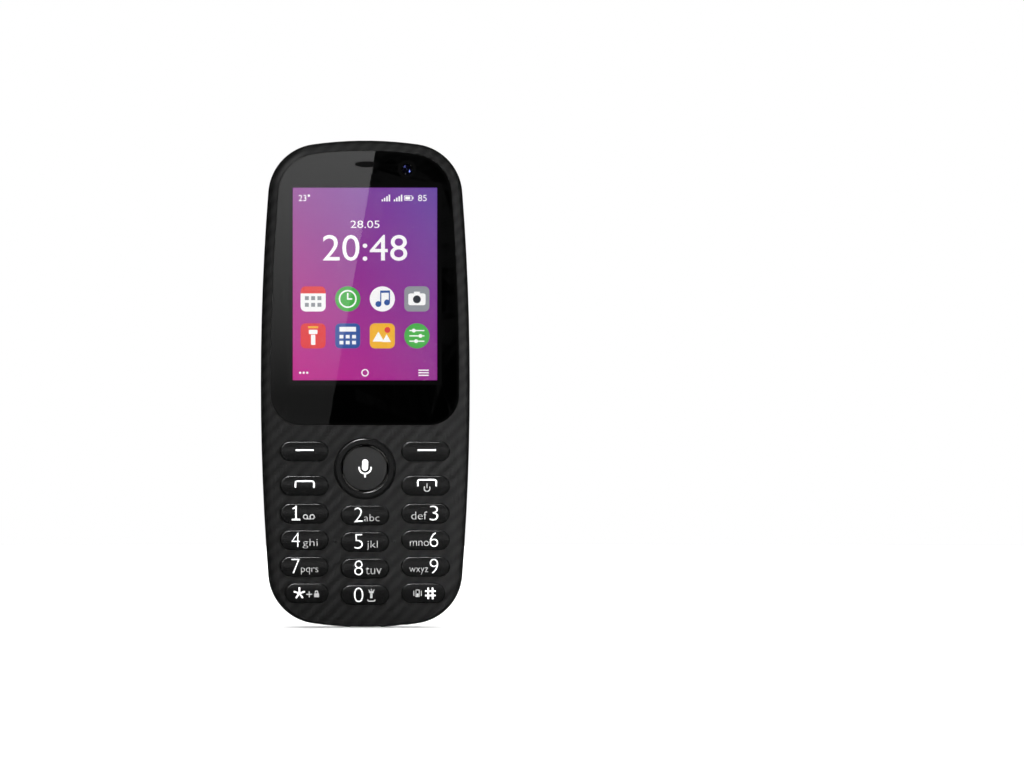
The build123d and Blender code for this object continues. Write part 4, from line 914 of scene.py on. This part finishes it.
# FR-4 under green solder mask: copper tracks show through as lighter lines, the cut edge is tan.
solder_mask, tree, shader = start_material("fr4_green_solder_mask", "#12512c", 0.3)
tracks = add_node(tree, "TexBrick", {
    "Vector": object_point(tree),
    "Scale": 1 / (4 * track_pitch), "Mortar Size": 0.035, "Color1": linear("#0e4525"),
    "Color2": linear("#155c32"), "Mortar": linear("#2f8a52")}, offset=0.5)
tree.links.new(tracks.outputs["Color"], shader.inputs["Base Color"])
emboss(tree, shader, tracks.outputs["Fac"], 0.03 * mm, invert=True)
paint(solder_mask, "main_board")
coat_faces(nodes["main_board"], grained("cut_fr4_edge", "#a99a62", 0.75, 0.2 * mm, 0.01 * mm),
           lambda face, corners: abs(face.normal.y) <= 0.9)

# Tinned steel shield cans: bright grey, rolled, with a faint lengthwise grain.
tinned_steel, tree, shader = start_material("tinned_steel", "#c3c5c4", 0.3, metallic=1.0)
rolled = add_node(tree, "Mapping", {
    "Vector": object_point(tree), "Scale": (1, 1, 0.08)}, "Vector")
lines = add_node(tree, "TexNoise", {
    "Vector": rolled, "Scale": 1 / (0.15 * mm), "Detail": 3.0}, "Fac")
emboss(tree, shader, lines, 0.002 * mm)
paint(tinned_steel, "shield_cans", "sim_socket_left", "sim_socket_right", "memory_card_socket")

# Moulded epoxy chips: dark grey, matt, sand-like.
paint(grained("moulded_epoxy", "#1e1f20", 0.7, 0.12 * mm, 0.012 * mm), "board_chips")

# Ceramic capacitors: a tan body between two soldered caps, one modelled and the rest copied.
capacitor = add_piece(bpy.ops.mesh.primitive_cube_add, size=1)
capacitor.scale = (capacitor_length, capacitor_height, capacitor_width)
settle(capacitor)
for side in (-1, 1):
    reshape(capacitor, bpy.ops.mesh.bisect, plane_co=(side * capacitor_cap_x, 0, 0),
            plane_no=(1, 0, 0))
finish_with(capacitor, "BEVEL", width=0.05 * mm, segments=2, limit_method="ANGLE")
give(capacitor, grained("fired_ceramic", "#8a6a48", 0.6, 0.1 * mm, 0.006 * mm))
coat_faces(capacitor, grained("bright_solder", "#cfd0cd", 0.28, 0.15 * mm, 0.006 * mm,
                              metallic=1.0),
           lambda face, corners: abs(face.center.x) > capacitor_cap_x)
capacitors = []
for row_z in capacitor_rows:
    for column in range(-4, 5):
        select_only(capacitor)
        bpy.ops.object.duplicate()
        copy = bpy.context.object
        copy.location = (column * capacitor_pitch, board_back_y + capacitor_height / 2, row_z)
        capacitors.append(settle(copy))
bpy.data.objects.remove(capacitor)
select_only(*capacitors)
bpy.ops.object.join()
board_capacitors = bpy.context.object
board_capacitors.name = "board_capacitors"
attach(board_capacitors, "phone_body")


# Sockets and microphones
# A steel charging socket and a polymer headphone socket stand at the lower end, and a tin-cased
# microphone at each end.
usb_low, usb_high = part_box("usb_connector")
usb_middle_y = (usb_low.y + usb_high.y) / 2
tongue_half_width = 1.9 * mm
tongue_half_depth = 0.45 * mm
# Nickel-plated steel: smooth and warm grey. The tongue inside it is plated with gold.
gold_plate = grained("gold_plate", "#e0b153", 0.2, 0.2 * mm, 0.002 * mm, metallic=1.0)
paint(grained("nickel_plated_steel", "#b9b7b0", 0.24, 0.4 * mm, 0.002 * mm, metallic=1.0),
      "usb_connector")
coat_faces(nodes["usb_connector"], gold_plate,
           lambda face, corners: abs(face.center.x) < tongue_half_width
           and abs(face.center.y - usb_middle_y) < tongue_half_depth)
paint(connector_plastic, "headphone_jack")
paint(tinned_steel, "bottom_microphone", "top_microphone")


# Chassis
# The inner frame carries the board, the battery and the antenna. It is glass-filled
# polycarbonate, held to the front shell by six screws.

# Glass-filled polycarbonate: dark grey and matt, mottled by the fibres near its skin.
filled_plastic, tree, shader = start_material("glass_filled_polycarbonate", "#1d1e20", 0.58,
                                              ior=1.58)
two_colours(tree, shader, grain(tree, shader, 0.5 * mm, 0.012 * mm), "#17181a", "#26282b")
paint(filled_plastic, "chassis", "antenna_carrier")
# Black zinc-plated steel screws: dark grey, with a dull shine.
paint(grained("black_zinc_plate", "#3a3b3d", 0.34, 0.15 * mm, 0.004 * mm, metallic=1.0),
      "chassis_screws")
# Copper film on the antenna carrier, tarnish-proofed, with a warm dull shine.
paint(grained("laminated_copper", "#b8683a", 0.34, 0.8 * mm, 0.004 * mm, metallic=1.0),
      "antenna_flex")


# Battery
# A lithium-ion cell in a printed sleeve, pulled from the bay by its upper edge. Three gold pads
# at its foot meet the sprung contacts of the phone.
battery_low, battery_high = [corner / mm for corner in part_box("battery")]
battery_middle = (battery_low + battery_high) / 2
label_margin = 2.5
label_width = battery_high.x - battery_low.x - 2 * label_margin
label_height = battery_high.z - battery_low.z - 2 * label_margin
label_gap = 0.005
print_depth = 0.02
pole_z = battery_low.z + 6
pad_width, pad_depth, pad_spacing = 1.6, 2.2, 3.0
contact_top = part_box("battery_contacts")[1].z

# Printed polyester sleeve: dark grey with a slight sheen and small ripples over the cell.
paint(grained("printed_polyester_sleeve", "#2a2c30", 0.42, 5 * mm, 0.03 * mm), "battery")
# The label: a border, the cell's voltage and the signs of its poles, in pale grey print.
border = hollow(card_shape(0, battery_middle.z, label_width, label_height, 0, 1.5), 0.35)
voltage = lettering("3.7 V", 0, battery_middle.z, 15, 4.4, 0)
poles = [card_shape(pad_spacing, pole_z, 2.0, 0.5, 0),
         card_shape(-pad_spacing, pole_z, 2.0, 0.5, 0),
         card_shape(-pad_spacing, pole_z + 0.62, 0.5, 0.75, 0),
         card_shape(-pad_spacing, pole_z - 0.62, 0.5, 0.75, 0)]
label = join("battery_label", [border, voltage] + poles,
             grained("grey_label_print", "#a9adb3", 0.5, 0.1 * mm, 0.002 * mm))
# It is read from behind, so it is turned round before it is laid on the back.
label.rotation_euler = (0, 0, math.radians(180))
label.location = (0, (battery_high.y + label_gap) * mm, 0)
thicken(settle(label), print_depth)
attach(label, "battery")
pads = []
for index in (-1, 0, 1):
    pad = add_piece(bpy.ops.mesh.primitive_plane_add, size=1, rotation=(math.radians(180), 0, 0),
                    location=(index * pad_spacing * mm, battery_middle.y * mm,
                              (battery_low.z - label_gap) * mm))
    pad.scale = (pad_width * mm, pad_depth * mm, 1)
    pads.append(settle(pad))
battery_pads = thicken(join("battery_pads", pads, gold_plate), print_depth)
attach(battery_pads, "battery")
# Contact block: black polymer, its sprung fingers gold plated.
paint(connector_plastic, "battery_contacts")
coat_faces(nodes["battery_contacts"], gold_plate,
           lambda face, corners: max(corner.z for corner in corners) > contact_top - 0.45 * mm
           and face.center.z > contact_top - 0.6 * mm)


# Motor and loudspeaker
# The buzzer is a coin-width steel motor with a half-round tungsten weight on its shaft. The
# loudspeaker sits behind the cover's holes, sealed to them by a foam frame.
paint(grained("drawn_steel_can", "#a8a9aa", 0.26, 0.5 * mm, 0.002 * mm, metallic=1.0),
      "vibration_motor")
# Sintered tungsten: heavy dark grey metal with a fine grain.
paint(grained("sintered_tungsten", "#6b6c70", 0.42, 0.12 * mm, 0.008 * mm, metallic=1.0),
      "vibration_weight")


def rings_about(tree, shader, x, z, scale, depth):
    """Round ribs about a point of the back, and the Object coordinates as seen from there."""
    centred = add_node(tree, "Mapping", {
        "Vector": object_point(tree), "Location": (-x * mm, 0, -z * mm)}, "Vector")
    rings = add_node(tree, "TexWave", {
        "Vector": centred, "Scale": scale}, "Fac", wave_type="RINGS", rings_direction="Y")
    emboss(tree, shader, rings, depth)
    return centred


# Speaker frame in black polymer. Its cone is thin formed polyester, glossier than the frame.
speaker_low, speaker_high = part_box("loudspeaker")
speaker_middle = (speaker_low + speaker_high) / 2 / mm
cone_film, tree, shader = start_material("formed_polyester_cone", "#22252b", 0.22)
rings_about(tree, shader, speaker_middle.x, speaker_middle.z, 0.3 / mm, 0.08 * mm)
paint(case_plastic, "loudspeaker")
coat_faces(nodes["loudspeaker"], cone_film, lambda face, corners: face.normal.y > 0.9
           and face.center.y < speaker_high.y - 0.1 * mm)
# Open-cell foam: grey-black, porous, no shine.
foam, tree, shader = start_material("open_cell_foam", "#26282a", 0.98)
cells = add_node(tree, "TexVoronoi", {
    "Vector": object_point(tree), "Scale": 1 / (0.35 * mm)}, "Distance")
emboss(tree, shader, cells, 0.12 * mm)
paint(foam, "speaker_gasket")


# Rear cover
# The back of the phone is one snap-on ABS moulding: a smooth side band that runs into a domed
# panel with the same woven relief as the face, with holes for the loudspeaker.
crease_y = 3.2 * mm

# Moulded ABS again: its two greys of painted sheen and shade lie further apart, and its stripes
# lean the other way.
cover_abs, tree, shader = start_material("moulded_abs_woven_back", "#181818", 0.4)
woven_finish(tree, shader, 0.4, crease_y, crease_y + 0.1 * mm, -1.0, "#0f0f0f", "#1f1f1f",
             "#262626")
paint(cover_abs, "rear_cover")


# Rear camera and flash
# A raised frame snapped into the cover holds a small acrylic window. Behind it are the lens
# barrel with a bright trim ring and a flash under a yellow moulded lens.
island_x, island_z = 12.36, 99.9
island_low, island_high = [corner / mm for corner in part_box("camera_window")]
print_margin = 0.4
lens_z = 103.0
flash_z = 95.3
ring_radius = 2.95
flash_radius = 1.525
rear_lens_radius, rear_lens_rise = 1.5, 0.45
rear_lens_seat_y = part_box("rear_camera")[1].y / mm - 0.5

# Frame: polished black ABS, a touch glossier than the cover round it. Its sides, down in the
# gaps, are painted near black as painted shade.
bezel_gloss, tree, shader = start_material("polished_abs", "#1d1d1d", 0.3)
grain(tree, shader, 2 * mm, 0.002 * mm)
facing = add_node(tree, "SeparateXYZ", {"Vector": add_node(tree, "NewGeometry", out="Normal")}, "Y")
# Painted shade on the sides down in the gaps.
two_colours(tree, shader, ranged(tree, facing, 0.8, 0.98), "#040404", "#222222")
paint(bezel_gloss, "camera_bezel")
paint(acrylic, "camera_window")
paint(case_plastic, "rear_camera")

# The window's print leaves two round openings.
island_ink = card_shape(island_x, island_z, island_high.x - island_low.x - print_margin,
                        island_high.z - island_low.z - print_margin, island_low.y + ink_lift, 1.8)
thicken(join("camera_window_ink", [island_ink], black_ink), ink_depth)
cut_opening(island_ink, disc_shape(island_x, lens_z, ring_radius, 0, 64))
cut_opening(island_ink, disc_shape(island_x, flash_z, flash_radius - 0.02, 0))
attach(island_ink, "rear_cover")

# Trim ring: satin aluminium, turned, so its light follows round it.
turned_aluminium, tree, shader = start_material("turned_aluminium", "#eef0f2", 0.3, metallic=1.0)
rings_about(tree, shader, island_x, lens_z, 2 / mm, 0.003 * mm)
paint(turned_aluminium, "camera_ring")

rear_lens = lens_dome("rear_camera_lens", island_x, lens_z, rear_lens_radius, rear_lens_rise,
                      rear_lens_seat_y, 1)
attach(rear_lens, "phone_body")

# Flash: a white LED package under a yellow Fresnel lens. The lens has a faint painted glow, and
# the dark cross that its four facets leave is painted shade.
paint(led_case, "flash_led")
coat_faces(nodes["flash_led"], led_fill, lambda face, corners: face.normal.y > 0.9)
# A faint painted glow.
flash_plastic, tree, shader = start_material("yellow_fresnel_polycarbonate", "#e8e000", 0.18,
                                             ior=1.58, glow="#e8e000", strength=0.25)
point = add_node(tree, "SeparateXYZ", {
    "Vector": rings_about(tree, shader, island_x, flash_z, 1.2 / mm, 0.05 * mm)})
product = add_node(tree, "Math", {
    0: point.outputs["X"], 1: point.outputs["Z"]}, 0, operation="MULTIPLY")
from_cross = add_node(tree, "Math", {0: product}, 0, operation="ABSOLUTE")
facet = (flash_radius * mm) ** 2
# Painted shade: the facets' dark cross.
two_colours(tree, shader, ranged(tree, from_cross, 0.02 * facet, 0.3 * facet),
            "#f2ec10", "#8f8a00")
paint(flash_plastic, "flash_lens")
